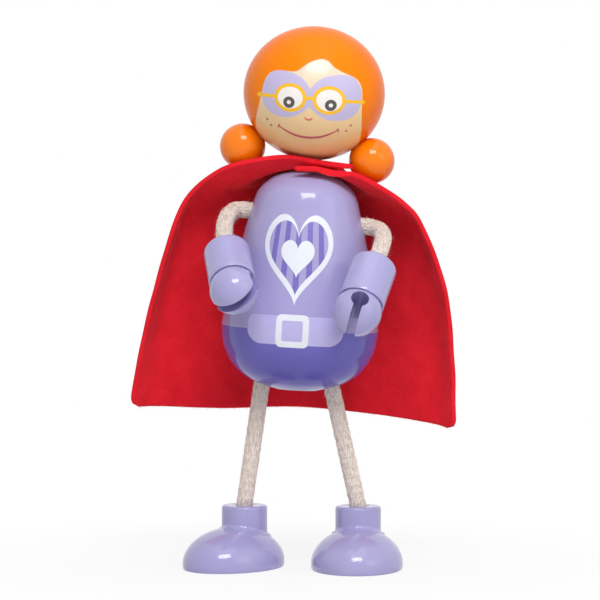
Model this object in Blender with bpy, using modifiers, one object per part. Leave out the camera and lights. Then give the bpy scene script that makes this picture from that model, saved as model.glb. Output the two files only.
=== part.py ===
"""Bendy doll: turned wooden head and torso, rope limbs on a wire core, a felt cape.

Metres, +Z up. The doll looks along -Y and stands on its soles at Z = 0, with its own
right hand at -X. The torso leans a little. Torso, arms and cape are laid out in the
torso's own frame: its origin is the torso's lowest point and its Z the turned axis.
"""
import math

import bmesh
import bpy
import numpy as np
from mathutils import Matrix, Vector

# Clearances
seat_gap = 0.0003
hole_overrun = 0.002
merge_distance = 0.00001

# Posture
torso_place_x = 0.0013
torso_place_y = 0.0038
torso_base_height = 0.0388
torso_lean = math.radians(3.0)
head_tilt = math.radians(1.5)
leg_spread = {"right": math.radians(8.2), "left": math.radians(12.6)}
toe_out = {"right": math.radians(30.0), "left": math.radians(0.0)}
side_sign = {"right": -1, "left": 1}

# Torso
torso_height = 0.0474
torso_radius = 0.0171
torso_foot_share = 0.2
torso_outline_shares = [
    (0.24, 1.0), (0.40, 0.983), (0.52, 0.952), (0.615, 0.912), (0.665, 0.868), (0.70, 0.815),
    (0.765, 0.73), (0.845, 0.60), (0.91, 0.48), (0.965, 0.38), (1.0, 0.29), (0.985, 0.22),
    (0.945, 0.17), (0.87, 0.12), (0.76, 0.074), (0.60, 0.036), (0.44, 0.014), (0.30, 0.0),
]
arm_hole_tilt = math.radians(4.8)
hip_offset = 0.0077
hip_hole_depth = 0.010

# Neck and head
neck_gap = 0.0027
neck_peg_radius = 0.0020
neck_peg_in_torso = 0.0056
neck_web = 0.00265
neck_peg_in_head = 0.0080
head_radius = 0.0154
head_half_height = 0.01455

# Hair buns and the dowels that hold them
bun_radius = 0.0050
bun_angle = {"right": math.radians(40.8), "left": math.radians(45.0)}
bun_sink = 0.0006
bun_pin_radius = 0.0010
bun_pin_in_head = 0.0040
bun_pin_in_bun = 0.0030

# Rope and the wire inside it
rope_radius = 0.00175
rope_bore_radius = 0.0009
wire_radius = 0.0006
bend_clearance = 0.0014
rope_in_cuff = 0.0040
rope_in_boot = 0.0070
hip_link = 0.0045

# Forearm cuffs: the middle of each top rim, from the shoulder's pivot, in the torso's frame
cuff_radius = 0.0050
cuff_length = 0.0108
cuff_edge_round = 0.0009
cuff_offset = {
    "right": Vector((-0.00221, -0.0119, -0.00887)),
    "left": Vector((0.00239, -0.0120, -0.00779)),
}
forearm_way = {
    "right": Vector((0.2365, -0.7622, -0.6027)),
    "left": Vector((-0.1968, -0.6358, -0.7468)),
}
arm_slack_share = 0.36

# Hands
hand_radius = 0.0052
hand_reach = 0.0026
hand_stub_radius = 0.0015
hand_stub_length = 0.0030
grip_radius = 0.0019
grip_slot_width = 0.0019
grip_way = {
    "right": Vector((0.8732, -0.1054, 0.4759)),
    "left": Vector((0.1341, -0.7465, 0.6517)),
}

# Boots
boot_height = 0.0133
boot_dome_height = 0.0088
boot_half_width = 0.0100
boot_half_length = 0.0130
boot_shank_radius = 0.0050
boot_shank_setback = 0.0040
boot_edge_height = 0.0012
boot_sole_inset = 0.0003
boot_fillet = 0.0009
boot_row_power = 1.4
boot_top_round = 0.0006

# Cape, one sheet of felt in two parts: the yoke on the shoulders and the hanging panel
felt_thickness = 0.0011
cape_flare = 0.0199
cape_back_room = 0.0017
cape_neck_rise = 0.0013
cape_drop = 0.0540
cape_hem_wave = 0.0006
cape_hem_waves = 3
cape_seam_share = 0.006

# How finely the shapes are divided
turned_steps = 36
small_steps = 24
rope_sides = 10
wire_sides = 8
bent_rings = 3
spans_per_point = 2
boot_columns = 32
boot_rows = 9
cape_columns = 26
yoke_rows = 8
panel_rows = 12
rib_spans = 12
head_points = 19
bun_points = 13
hand_points = 12
cup_points = 6
edge_points = 5
route_points = 49

colours = {
    "lilac_wood": (0.36, 0.31, 0.62, 0.3),
    "lilac_plastic": (0.38, 0.33, 0.63, 0.25),
    "skin_wood": (0.80, 0.60, 0.36, 0.25),
    "hair_paint": (0.90, 0.24, 0.02, 0.15),
    "bare_wood": (0.62, 0.44, 0.26, 0.6),
    "cotton_rope": (0.72, 0.64, 0.54, 0.9),
    "steel_wire": (0.55, 0.55, 0.56, 0.35),
    "red_felt": (0.60, 0.01, 0.02, 0.95),
}

for old in list(bpy.data.objects):
    bpy.data.objects.remove(old, do_unlink=True)


def collection(name):
    """A new collection in the scene."""
    made = bpy.data.collections.new(name)
    bpy.context.scene.collection.children.link(made)
    return made


parts = collection("bendy_doll")
cutters = collection("cutters")
guides = collection("joint_axes")
frames = {}


def finish(name):
    """The Principled material of one finish, made once."""
    found = bpy.data.materials.get(name)
    if found:
        return found
    red, green, blue, rough = colours[name]
    made = bpy.data.materials.new(name)
    made.use_nodes = True
    shader = made.node_tree.nodes["Principled BSDF"]
    shader.inputs["Base Color"].default_value = (red, green, blue, 1.0)
    shader.inputs["Roughness"].default_value = rough
    shader.inputs["Metallic"].default_value = 1.0 if name == "steel_wire" else 0.0
    return made


def axis_frame(place, way, across=Vector((1.0, 0.0, 0.0))):
    """A frame at place with its Z along way and its X as near to across as it can be."""
    z = way.normalized()
    x = (across - across.dot(z) * z).normalized()
    y = z.cross(x)
    turned = Matrix((x, y, z)).transposed().to_4x4()
    return Matrix.Translation(place) @ turned


def guide(name, world, parent=None):
    """An empty that carries pieces, or that shows a joint's axis as its own Z."""
    empty = bpy.data.objects.new(name, None)
    empty.empty_display_size = rope_radius
    guides.objects.link(empty)
    frames[name] = world
    if parent:
        empty.parent = bpy.data.objects[parent]
        empty.matrix_local = frames[parent].inverted() @ world
    else:
        empty.matrix_local = world
    return empty


def piece(name, mesh, colour, carrier, layout):
    """An object for a mesh that is drawn in the layout frame and carried by an empty."""
    made = bpy.data.objects.new(name, mesh)
    parts.objects.link(made)
    mesh.transform(frames[carrier].inverted() @ layout)
    made.parent = bpy.data.objects[carrier]
    mesh.materials.append(finish(colour))
    return made


def cutter(name, mesh, world):
    """A hidden object that only cuts others."""
    made = bpy.data.objects.new(name, mesh)
    cutters.objects.link(made)
    made.matrix_world = world
    made.hide_render = True
    made.display_type = "WIRE"
    return made


def cut(target, *tools):
    """Take the tools' shapes out of the target."""
    for tool in tools:
        step = target.modifiers.new("cut_" + tool.name, "BOOLEAN")
        step.operation = "DIFFERENCE"
        step.solver = "EXACT"
        step.object = tool


def rod_mesh(name, radius, low, high, sides=small_steps):
    """A closed cylinder along Z from low to high."""
    mesh = bpy.data.meshes.new(name)
    shape = bmesh.new()
    middle = Matrix.Translation((0.0, 0.0, (low + high) / 2))
    bmesh.ops.create_cone(shape, cap_ends=True, segments=sides, radius1=radius, radius2=radius,
                          depth=high - low, matrix=middle)
    shape.to_mesh(mesh)
    shape.free()
    return mesh


def box_mesh(name, low, high):
    """A closed box between two corners."""
    mesh = bpy.data.meshes.new(name)
    shape = bmesh.new()
    low, high = Vector(low), Vector(high)
    size = Matrix.Diagonal((*(high - low), 1.0))
    bmesh.ops.create_cube(shape, size=1.0, matrix=Matrix.Translation((low + high) / 2) @ size)
    shape.to_mesh(mesh)
    shape.free()
    return mesh


def smooth_line(points, spans=spans_per_point):
    """A smooth curve through the points, with so many steps from each to the next."""
    p = np.asarray(points, float)
    ends = np.vstack([2 * p[0] - p[1], p, 2 * p[-1] - p[-2]])
    t = (np.arange(spans) / spans)[:, None]
    rows = []
    for a, b, c, d in zip(ends[:-3], ends[1:-2], ends[2:-1], ends[3:]):
        rows.append(0.5 * (2 * b + (c - a) * t + (2 * a - 5 * b + 4 * c - d) * t**2
                           + (3 * b - a - 3 * c + d) * t**3))
    return np.vstack(rows + [p[-1:]])


def turned(name, outline, colour, carrier, layout, steps=turned_steps):
    """A piece turned about the layout's Z from an outline of (radius, height), top first."""
    mesh = bpy.data.meshes.new(name)
    corners = [(radius, 0.0, height) for radius, height in outline]
    mesh.from_pydata(corners, [(n, n + 1) for n in range(len(corners) - 1)], [])
    made = piece(name, mesh, colour, carrier, frames[carrier])
    made.matrix_local = frames[carrier].inverted() @ layout
    spin = made.modifiers.new("turn", "SCREW")
    spin.axis = "Z"
    spin.steps = spin.render_steps = steps
    spin.use_merge_vertices = True
    spin.merge_threshold = merge_distance
    spin.use_smooth_shade = True
    return made


def arc(radius, start, end, count, centre_radius=0.0, centre_height=0.0):
    """Points of (radius, height) on a circle, by angles up from the horizontal."""
    return [(centre_radius + radius * math.cos(a), centre_height + radius * math.sin(a))
            for a in np.linspace(start, end, count)]


class Route:
    """A smooth line that rope follows. at(s) gives points, ways along and two ways across."""

    def __init__(self, points, across):
        self.points = np.asarray([tuple(p) for p in points], float)
        steps = np.linalg.norm(np.diff(self.points, axis=0), axis=1)
        self.marks = np.concatenate([[0.0], np.cumsum(steps)])
        self.length = self.marks[-1]
        self.ways = np.gradient(self.points, self.marks, axis=0)
        self.across = np.asarray(tuple(across), float)

    def at(self, s):
        s = np.asarray(s, float)
        inside = np.clip(s, 0.0, self.length)
        place = np.stack([np.interp(inside, self.marks, c) for c in self.points.T], -1)
        way = np.stack([np.interp(inside, self.marks, c) for c in self.ways.T], -1)
        way /= np.linalg.norm(way, axis=-1, keepdims=True)
        place = place + (s - inside)[..., None] * way
        side = self.across - (way @ self.across)[..., None] * way
        side /= np.linalg.norm(side, axis=-1, keepdims=True)
        return place, way, side, np.cross(way, side)

    def frame(self, s, axis):
        """The frame of a hinge at s, with its Z along axis."""
        place, way, _, _ = self.at(np.array([s]))
        return axis_frame(Vector(place[0]), Vector(axis), Vector(way[0]))


def carried_mesh(name, route, profile, sides, hollow):
    """A surface from a profile of (way along, radius) carried along a route.

    Each profile point makes a ring across the route. A hollow profile is a closed loop
    whose last ring joins its first, and any other is capped at both ends.
    """
    along, radii = np.array(profile, float).T
    place, _, side, up = route.at(along)
    turn = math.tau * np.arange(sides) / sides
    round_ways = (np.cos(turn)[None, :, None] * side[:, None]
                  + np.sin(turn)[None, :, None] * up[:, None])
    rings = place[:, None] + radii[:, None, None] * round_ways
    count = len(profile)
    last = count if hollow else count - 1
    faces = [(i * sides + j, i * sides + (j + 1) % sides,
              (i + 1) % count * sides + (j + 1) % sides, (i + 1) % count * sides + j)
             for i in range(last) for j in range(sides)]
    if not hollow:
        faces.append(tuple(reversed(range(sides))))
        faces.append(tuple((count - 1) * sides + j for j in range(sides)))
    mesh = bpy.data.meshes.new(name)
    mesh.from_pydata(rings.reshape(-1, 3).tolist(), [], faces)
    mesh.shade_smooth()
    return mesh


def rope_profile(start, end, start_form, end_form, rings):
    """The closed profile of a length of bored rope between two pivots, outside then bore.

    A ball end is round about its pivot. A cup end is hollowed about its pivot, with room
    for the next ball, and its rim stands back so that the next length can bend away.
    """
    cup_radius = rope_radius + seat_gap

    def end_points(pivot, form, way):
        if form == "flat":
            return [(pivot, rope_bore_radius), (pivot, rope_radius)]
        if form == "ball":
            low = math.asin(rope_bore_radius / rope_radius)
            return [(pivot - way * rope_radius * math.cos(a), rope_radius * math.sin(a))
                    for a in np.linspace(low, math.pi / 2, edge_points)]
        low, high = (math.asin(r / cup_radius) for r in (rope_bore_radius, rope_radius))
        return [(pivot + way * cup_radius * math.cos(a), cup_radius * math.sin(a))
                for a in np.linspace(low, high, edge_points)]

    first = end_points(start, start_form, 1)
    last = end_points(end, end_form, -1)[::-1]
    middle = np.linspace(first[-1][0], last[0][0], rings + 2)[1:-1]
    bore = np.linspace(last[-1][0], first[0][0], rings + 2)[1:-1]
    return (first + [(s, rope_radius) for s in middle] + last
            + [(s, rope_bore_radius) for s in bore])


def rope_length(prefix, name, route, start, end, forms, carrier, layout, bent=False):
    """One length of rope and the wire inside it, between two pivots of a route."""
    rings = bent_rings if bent else 0
    profile = rope_profile(start, end, forms[0], forms[1], rings)
    mesh = carried_mesh(f"{prefix}_rope_{name}", route, profile, rope_sides, True)
    piece(f"{prefix}_rope_{name}", mesh, "cotton_rope", carrier, layout)
    reach = {"ball": -rope_radius / 2, "cup": rope_radius + seat_gap, "flat": seat_gap}
    low, high = start + reach[forms[0]], end - reach[forms[1]]
    wire = [(s, wire_radius) for s in np.linspace(low, high, rings + 2)]
    mesh = carried_mesh(f"{prefix}_wire_{name}", route, wire, wire_sides, False)
    piece(f"{prefix}_wire_{name}", mesh, "steel_wire", carrier, layout)


def hole(name, place, way, depth, radius, layout):
    """A cutter for a drilled hole that starts at place and goes in along way."""
    mesh = rod_mesh(name, radius, -hole_overrun, depth)
    return cutter(name, mesh, layout @ axis_frame(place, way))


# The frames that everything is laid out in
world = Matrix.Identity(4)
torso_frame = (Matrix.Translation((torso_place_x, torso_place_y, torso_base_height))
               @ Matrix.Rotation(torso_lean, 4, "Y"))
head_frame = (torso_frame @ Matrix.Translation((0.0, 0.0, torso_height))
              @ Matrix.Rotation(head_tilt, 4, "Y"))
head_centre = Vector((0.0, 0.0, neck_gap + head_half_height))
arm_hole_middle = Vector((0.0, 0.0, torso_height - neck_peg_in_torso - neck_web - rope_radius))
x_axis, y_axis, z_axis = (Vector(row) for row in Matrix.Identity(3))


def torso_outline():
    """The torso's outline as (radius, height) from the middle of its top to its foot."""
    sizes = np.array((torso_radius, torso_height))
    line = smooth_line(np.array(torso_outline_shares) * sizes)
    return [(0.0, torso_height)] + [tuple(p) for p in line] + [(0.0, 0.0)]


def torso_wall_at(height):
    """The torso's radius at a height on its flank."""
    line = np.array(torso_outline())
    flank = line[np.argsort(line[:, 1])]
    flank = flank[flank[:, 1] > torso_foot_share * torso_height]
    return float(np.interp(height, flank[:, 1], flank[:, 0]))


def torso_foot_at(radius):
    """The height of the torso's rounded foot at a radius."""
    line = np.array(torso_outline())[::-1]
    foot = line[line[:, 1] < torso_foot_share * torso_height]
    return float(np.interp(radius, foot[:, 0], foot[:, 1]))


def arm_way(side):
    """The way out of the torso along the cross hole."""
    return Vector((side_sign[side] * math.cos(arm_hole_tilt), 0.0,
                   -side_sign[side] * math.sin(arm_hole_tilt)))


def arm_reach(side):
    """How far the arm's first pivot lies from the torso's axis along the cross hole."""
    height = arm_hole_middle.z - side_sign[side] * torso_radius * math.sin(arm_hole_tilt) / 2
    return torso_wall_at(height) / math.cos(arm_hole_tilt) + bend_clearance


def shoulder_place(side):
    """The arm's first pivot, in the torso's frame."""
    return arm_hole_middle + arm_reach(side) * arm_way(side)


def arm_route(side):
    """The arm rope's curve from the shoulder pivot to the elbow pivot."""
    out = arm_way(side)
    forearm = forearm_way[side].normalized()
    start = shoulder_place(side)
    end = start + cuff_offset[side] - bend_clearance * forearm
    slack = arm_slack_share * (end - start).length
    knots = [start, start + slack * out, end - slack * forearm, end]
    t = np.linspace(0.0, 1.0, route_points)[:, None]
    weights = ((1 - t)**3, 3 * t * (1 - t)**2, 3 * t**2 * (1 - t), t**3)
    points = sum(w * np.array(tuple(k)) for w, k in zip(weights, knots))
    return Route(points, out.cross(forearm).normalized())


def hip_exit(side):
    """Where a leg's rope leaves the torso, in the world."""
    return torso_frame @ Vector((side_sign[side] * hip_offset, 0.0, torso_foot_at(hip_offset)))


def leg_way(side):
    """The way down along a leg."""
    angle = leg_spread[side]
    return Vector((side_sign[side] * math.sin(angle), 0.0, -math.cos(angle)))


def leg_route(side):
    """The leg rope's straight run from the hip pivot to the ankle pivot."""
    start = hip_exit(side) + bend_clearance * leg_way(side)
    drop = start.z - boot_height - bend_clearance
    end = start + leg_way(side) * (drop / math.cos(leg_spread[side]))
    return Route([start, end], y_axis)


def make_torso():
    """The turned torso with its cross hole, neck hole and two leg holes."""
    torso = turned("torso", torso_outline(), "lilac_wood", "torso_axes", torso_frame)
    rope_hole = rope_radius + seat_gap
    far = torso_radius + hole_overrun
    across = rod_mesh("arm_hole", rope_hole, -far, far)
    arm_hole = cutter("arm_hole", across,
                      torso_frame @ axis_frame(arm_hole_middle, arm_way("left"), y_axis))
    neck_hole = hole("neck_hole", Vector((0.0, 0.0, 0.0)), -z_axis, neck_peg_in_torso + seat_gap,
                     neck_peg_radius + seat_gap, head_frame)
    leg_holes = [hole(f"{side}_leg_hole", hip_exit(side), -leg_way(side), hip_hole_depth + seat_gap,
                      rope_hole, world) for side in side_sign]
    cut(torso, arm_hole, neck_hole, *leg_holes)


def make_neck_peg():
    """The peg between torso and head, in a hole of each."""
    mesh = rod_mesh("neck_peg", neck_peg_radius, -neck_peg_in_torso, neck_gap + neck_peg_in_head)
    piece("neck_peg", mesh, "bare_wood", "torso_axes", head_frame)


def head_outline(grow=0.0):
    """The head ball's outline, or that of a slightly larger ball, top first."""
    radius, half = head_radius + grow, head_half_height + grow
    return [(radius * math.sin(a), head_centre.z + half * math.cos(a))
            for a in np.linspace(0.0, math.pi, head_points)]


def bun_way(side):
    """The way from the head's centre to a bun's centre."""
    return Vector((side_sign[side] * math.cos(bun_angle[side]), 0.0, -math.sin(bun_angle[side])))


def head_wall_along(way):
    """How far the head's surface lies from its centre along a way."""
    return 1 / math.sqrt((way.x / head_radius)**2 + (way.z / head_half_height)**2)


def make_head():
    """The head ball with holes for the peg and the bun dowels, then buns and dowels."""
    head = turned("head_ball", head_outline(), "skin_wood", "neck_turn", head_frame)
    peg_hole = hole("head_hole", Vector((0.0, 0.0, neck_gap)), z_axis, neck_peg_in_head + seat_gap,
                    neck_peg_radius + seat_gap, head_frame)
    cut(head, peg_hole)
    seat = turned("bun_seat", head_outline(seat_gap), "skin_wood", "neck_turn", head_frame)
    parts.objects.unlink(seat)
    cutters.objects.link(seat)
    seat.hide_render = True
    seat.display_type = "WIRE"
    for side in side_sign:
        way = bun_way(side)
        wall = head_wall_along(way)
        far = wall + bun_radius - bun_sink
        place = head_frame @ axis_frame(head_centre + far * way, way, y_axis)
        ball = arc(bun_radius, math.pi / 2, -math.pi / 2, bun_points)
        bun = turned(f"bun_{side}", ball, "hair_paint", "neck_turn", place, small_steps)
        low, high = wall - bun_pin_in_head - far, wall + bun_pin_in_bun - far
        pin = rod_mesh(f"bun_pin_{side}", bun_pin_radius, low, high, rope_sides)
        piece(f"bun_pin_{side}", pin, "bare_wood", "neck_turn", place)
        room = rod_mesh(f"bun_hole_{side}", bun_pin_radius + seat_gap, low - seat_gap,
                        high + seat_gap, rope_sides)
        bore = cutter(f"bun_hole_{side}", room, place)
        cut(bun, seat, bore)
        cut(head, bore)


def make_arm_rope():
    """The middle of the arm rope, in the torso's cross hole, with a cup at each end."""
    route = Route([shoulder_place(side) for side in side_sign], y_axis)
    rope_length("arm", "middle", route, 0.0, route.length, ("cup", "cup"), "torso_axes", torso_frame)


def cuff_frame(side):
    """The frame of a forearm, at the middle of the cuff's top rim, Z up the arm."""
    rim = shoulder_place(side) + cuff_offset[side]
    return torso_frame @ axis_frame(rim, -forearm_way[side], grip_way[side])


def make_arm(side):
    """The bending lengths of one arm, its cuff, and the hand that turns in the cuff."""
    route = arm_route(side)
    half = route.length / 2
    outward = side_sign[side]
    shoulder, spread, elbow, turn = (f"{side}_{word}" for word in
                                     ("shoulder_raise", "arm_spread", "elbow_lift", "hand_turn"))
    guide(shoulder, torso_frame @ route.frame(0.0, -outward * y_axis), "torso_axes")
    guide(spread, torso_frame @ route.frame(half, outward * z_axis), shoulder)
    guide(elbow, torso_frame @ route.frame(route.length, -x_axis), spread)
    guide(turn, cuff_frame(side), elbow)
    prefix = f"{side}_arm"
    rope_length(prefix, "upper", route, 0.0, half, ("ball", "cup"), shoulder, torso_frame, True)
    rope_length(prefix, "lower", route, half, route.length, ("ball", "cup"), spread, torso_frame, True)
    in_cuff = route.length + bend_clearance + rope_in_cuff
    rope_length(prefix, "end", route, route.length, in_cuff, ("ball", "flat"), elbow, torso_frame)
    make_cuff(side, elbow)
    make_hand(side, turn)


def make_cuff(side, carrier):
    """The sleeve: a rope hole in its top, a round cup and a socket in its lower end."""
    rope_hole = rope_radius + seat_gap
    cup = hand_radius + seat_gap
    ball_height = -cuff_length - hand_reach
    socket = hand_stub_radius + seat_gap
    socket_top = ball_height + hand_radius + hand_stub_length + seat_gap
    rope_floor = -rope_in_cuff - seat_gap
    outline = [(0.0, rope_floor), (rope_hole, rope_floor), (rope_hole, 0.0)]
    outline += arc(cuff_edge_round, math.pi / 2, 0.0, edge_points, cuff_radius - cuff_edge_round,
                   -cuff_edge_round)
    outline += [(cuff_radius, -cuff_length)]
    outline += arc(cup, math.asin(hand_reach / cup), math.acos(socket / cup), cup_points,
                   0.0, ball_height)
    outline += [(socket, socket_top), (0.0, socket_top)]
    turned(f"{side}_cuff", outline, "lilac_plastic", carrier, cuff_frame(side), small_steps)


def make_hand(side, carrier):
    """The ball hand with its stub, a round grip through it and a slot to its far end."""
    ball_height = -cuff_length - hand_reach
    stub_top = ball_height + hand_radius + hand_stub_length
    root = math.acos(hand_stub_radius / hand_radius)
    outline = [(0.0, stub_top), (hand_stub_radius, stub_top)]
    outline += arc(hand_radius, root, -math.pi / 2, hand_points, 0.0, ball_height)
    place = cuff_frame(side)
    hand = turned(f"{side}_hand", outline, "lilac_plastic", carrier, place, small_steps)
    through = hand_radius + hole_overrun
    centre = Vector((0.0, 0.0, ball_height))
    grip = cutter(f"{side}_grip", rod_mesh("grip", grip_radius, -through, through),
                  place @ axis_frame(centre, x_axis, y_axis))
    half = grip_slot_width / 2
    slot_mesh = box_mesh("slot", (-through, -half, ball_height - through), (through, half, ball_height))
    slot = cutter(f"{side}_grip_slot", slot_mesh, place)
    cut(hand, grip, slot)


def make_leg(side):
    """The lengths of one leg from its hole in the torso down into its boot."""
    route = leg_route(side)
    knee = (hip_link + route.length) / 2
    spread, swing, bend, tilt = (f"{side}_{word}" for word in
                                 ("hip_spread", "hip_swing", "knee_bend", "ankle_tilt"))
    guide(spread, route.frame(0.0, -side_sign[side] * y_axis), "torso_axes")
    guide(swing, route.frame(hip_link, -x_axis), spread)
    guide(bend, route.frame(knee, x_axis), swing)
    guide(tilt, route.frame(route.length, -x_axis), bend)
    prefix = f"{side}_leg"
    inside = -bend_clearance - hip_hole_depth
    rope_length(prefix, "root", route, inside, 0.0, ("flat", "cup"), "torso_axes", world)
    rope_length(prefix, "upper", route, 0.0, hip_link, ("ball", "cup"), spread, world)
    rope_length(prefix, "middle", route, hip_link, knee, ("ball", "cup"), swing, world)
    rope_length(prefix, "lower", route, knee, route.length, ("ball", "cup"), bend, world)
    in_boot = route.length + bend_clearance + rope_in_boot
    rope_length(prefix, "end", route, route.length, in_boot, ("ball", "flat"), tilt, world)
    make_boot(side, route, tilt)


def boot_rings():
    """The boot's rings from the sole to the rim of the shank.

    The plan slides from the sole's ellipse to the shank's circle, and each point of the
    dome has the height of the ellipsoid over it. The shank then rises from a fillet.
    """
    turn = math.tau * np.arange(boot_columns) / boot_columns
    ring = np.stack([np.cos(turn), np.sin(turn)], -1)
    size = np.array((boot_half_width, boot_half_length))
    middle = np.array((0.0, -boot_shank_setback))

    def dome(plan):
        share = np.clip((((plan - middle) / size)**2).sum(-1), 0.0, 1.0)
        return boot_edge_height + (boot_dome_height - boot_edge_height) * np.sqrt(1 - share)

    foot = (boot_shank_radius + boot_fillet) * ring
    rings = [np.column_stack([middle + (size - boot_sole_inset) * ring, np.zeros(boot_columns)])]
    for share in np.sin(np.linspace(0.0, math.pi / 2, boot_rows))**boot_row_power:
        plan = (1 - share) * (middle + size * ring) + share * foot
        rings.append(np.column_stack([plan, dome(plan)]))
    base = dome(boot_shank_radius * ring)
    for angle in (math.pi / 6, math.pi / 3, math.pi / 2):
        radius = boot_shank_radius + boot_fillet * (1 - math.sin(angle))
        rings.append(np.column_stack([radius * ring, base + boot_fillet * (1 - math.cos(angle))]))
    for angle in (0.0, math.pi / 4, math.pi / 2):
        radius = boot_shank_radius - boot_top_round * (1 - math.cos(angle))
        height = boot_height - boot_top_round * (1 - math.sin(angle))
        rings.append(np.column_stack([radius * ring, np.full(boot_columns, height)]))
    return np.array(rings)


def make_boot(side, route, carrier):
    """A boot lofted from its rings, with a hole in its shank for the leg's rope."""
    rings = boot_rings()
    count = len(rings)
    n = boot_columns
    faces = [(i * n + j, i * n + (j + 1) % n, (i + 1) * n + (j + 1) % n, (i + 1) * n + j)
             for i in range(count - 1) for j in range(n)]
    faces.append(tuple(reversed(range(n))))
    faces.append(tuple((count - 1) * n + j for j in range(n)))
    mesh = bpy.data.meshes.new(f"{side}_boot")
    mesh.from_pydata(rings.reshape(-1, 3).tolist(), [], faces)
    mesh.shade_smooth()
    top = Vector(route.at(np.array([route.length]))[0][0]) + bend_clearance * leg_way(side)
    place = (Matrix.Translation((top.x, top.y, 0.0))
             @ Matrix.Rotation(side_sign[side] * toe_out[side], 4, "Z"))
    boot = piece(f"{side}_boot", mesh, "lilac_plastic", carrier, place)
    rope_hole = hole(f"{side}_boot_hole", Vector((top.x, top.y, boot_height)), leg_way(side),
                     rope_in_boot + seat_gap, rope_radius + seat_gap, world)
    cut(boot, rope_hole)


# The cape's ribs, each from its neck edge to its hem, as shares of the half width, the
# reach behind the torso's axis (before it where negative) and the drop from the neck.
# The seventh point of each lies at the shoulder line, where the panel hangs on the yoke.
cape_rib_shares = {
    "front_right": [
        (0.222, -0.215, 0.022), (0.065, -0.345, 0.025), (-0.105, -0.385, 0.037),
        (-0.30, -0.365, 0.014), (-0.50, -0.245, -0.03), (-0.66, -0.105, -0.115), (-0.765, -0.03, -0.24),
        (-0.865, 0.085, -0.49), (-0.945, 0.19, -0.74), (-1.01, 0.32, -1.005),
    ],
    "side_right": [
        (-0.17, -0.08, 0.012), (-0.26, -0.04, -0.035), (-0.37, 0.02, -0.078),
        (-0.47, 0.08, -0.095), (-0.57, 0.15, -0.13), (-0.655, 0.22, -0.17), (-0.71, 0.27, -0.25),
        (-0.80, 0.42, -0.52), (-0.84, 0.53, -0.75), (-0.865, 0.585, -1.0),
    ],
    "back_right": [
        (-0.12, 0.235, 0.014), (-0.16, 0.32, -0.02), (-0.20, 0.405, -0.05),
        (-0.235, 0.47, -0.08), (-0.27, 0.535, -0.125), (-0.295, 0.58, -0.18), (-0.32, 0.63, -0.245),
        (-0.385, 0.77, -0.50), (-0.44, 0.85, -0.75), (-0.46, 0.885, -1.0),
    ],
    "back": [
        (0.0, 0.34, 0.016), (0.0, 0.45, -0.015), (0.0, 0.545, -0.045),
        (0.0, 0.62, -0.085), (0.0, 0.675, -0.13), (0.0, 0.71, -0.18), (0.0, 0.755, -0.245),
        (0.0, 0.915, -0.50), (0.0, 0.99, -0.74), (0.0, 1.0, -1.0),
    ],
    "back_left": [
        (0.12, 0.235, 0.012), (0.16, 0.32, -0.02), (0.20, 0.405, -0.055),
        (0.235, 0.47, -0.085), (0.27, 0.535, -0.13), (0.295, 0.58, -0.185), (0.32, 0.63, -0.245),
        (0.375, 0.77, -0.50), (0.42, 0.85, -0.75), (0.44, 0.885, -1.0),
    ],
    "side_left": [
        (0.17, -0.08, -0.001), (0.25, -0.05, -0.041), (0.355, 0.02, -0.083),
        (0.45, 0.07, -0.102), (0.54, 0.13, -0.137), (0.60, 0.19, -0.18), (0.655, 0.25, -0.25),
        (0.75, 0.41, -0.52), (0.79, 0.52, -0.75), (0.815, 0.575, -1.0),
    ],
    "front_left": [
        (-0.06, -0.46, -0.019), (0.09, -0.475, -0.015), (0.235, -0.43, -0.027),
        (0.35, -0.33, -0.055), (0.465, -0.225, -0.09), (0.58, -0.15, -0.135), (0.70, -0.065, -0.23),
        (0.845, 0.08, -0.47), (0.907, 0.19, -0.73), (0.945, 0.32, -1.02),
    ],
}
rib_shoulder_point = 6


def cape_surface(columns, rows, low, high):
    """Points of the cape on a grid, for a stretch of its way down from the neck.

    The way down is 0 at the neck, 1 at the shoulder line and 2 at the hem. Each rib is a
    smooth curve, and each row is a smooth curve across the ribs.
    """
    sizes = np.array((torso_radius + cape_flare, torso_radius + cape_back_room, cape_drop))
    start = np.array((0.0, 0.0, torso_height + cape_neck_rise))
    ribs = []
    for shares in cape_rib_shares.values():
        line = smooth_line(np.array(shares), rib_spans) * sizes + start
        marks = np.concatenate([[0.0], np.cumsum(np.linalg.norm(np.diff(line, axis=0), axis=1))])
        middle = marks[rib_shoulder_point * rib_spans]
        way = np.where(marks < middle, marks / middle, 1 + (marks - middle) / (marks[-1] - middle))
        want = np.linspace(low, high, rows + 1)
        ribs.append(np.stack([np.interp(want, way, c) for c in line.T], -1))
    ribs = np.array(ribs)
    grid = []
    for row in ribs.transpose(1, 0, 2):
        line = smooth_line(row, rib_spans)
        marks = np.concatenate([[0.0], np.cumsum(np.linalg.norm(np.diff(line, axis=0), axis=1))])
        want = np.linspace(0.0, marks[-1], columns + 1)
        grid.append(np.stack([np.interp(want, marks, c) for c in line.T], -1))
    return np.array(grid)


def felt(name, grid, carrier):
    """A sheet of felt from a grid of points, given its thickness about its middle."""
    rows, columns = grid.shape[:2]
    faces = [(i * columns + j, i * columns + j + 1, (i + 1) * columns + j + 1, (i + 1) * columns + j)
             for i in range(rows - 1) for j in range(columns - 1)]
    mesh = bpy.data.meshes.new(name)
    mesh.from_pydata(grid.reshape(-1, 3).tolist(), [], faces)
    mesh.shade_smooth()
    sheet = piece(name, mesh, "red_felt", carrier, torso_frame)
    wall = sheet.modifiers.new("felt", "SOLIDIFY")
    wall.thickness = felt_thickness
    wall.offset = 0.0
    return sheet


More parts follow.
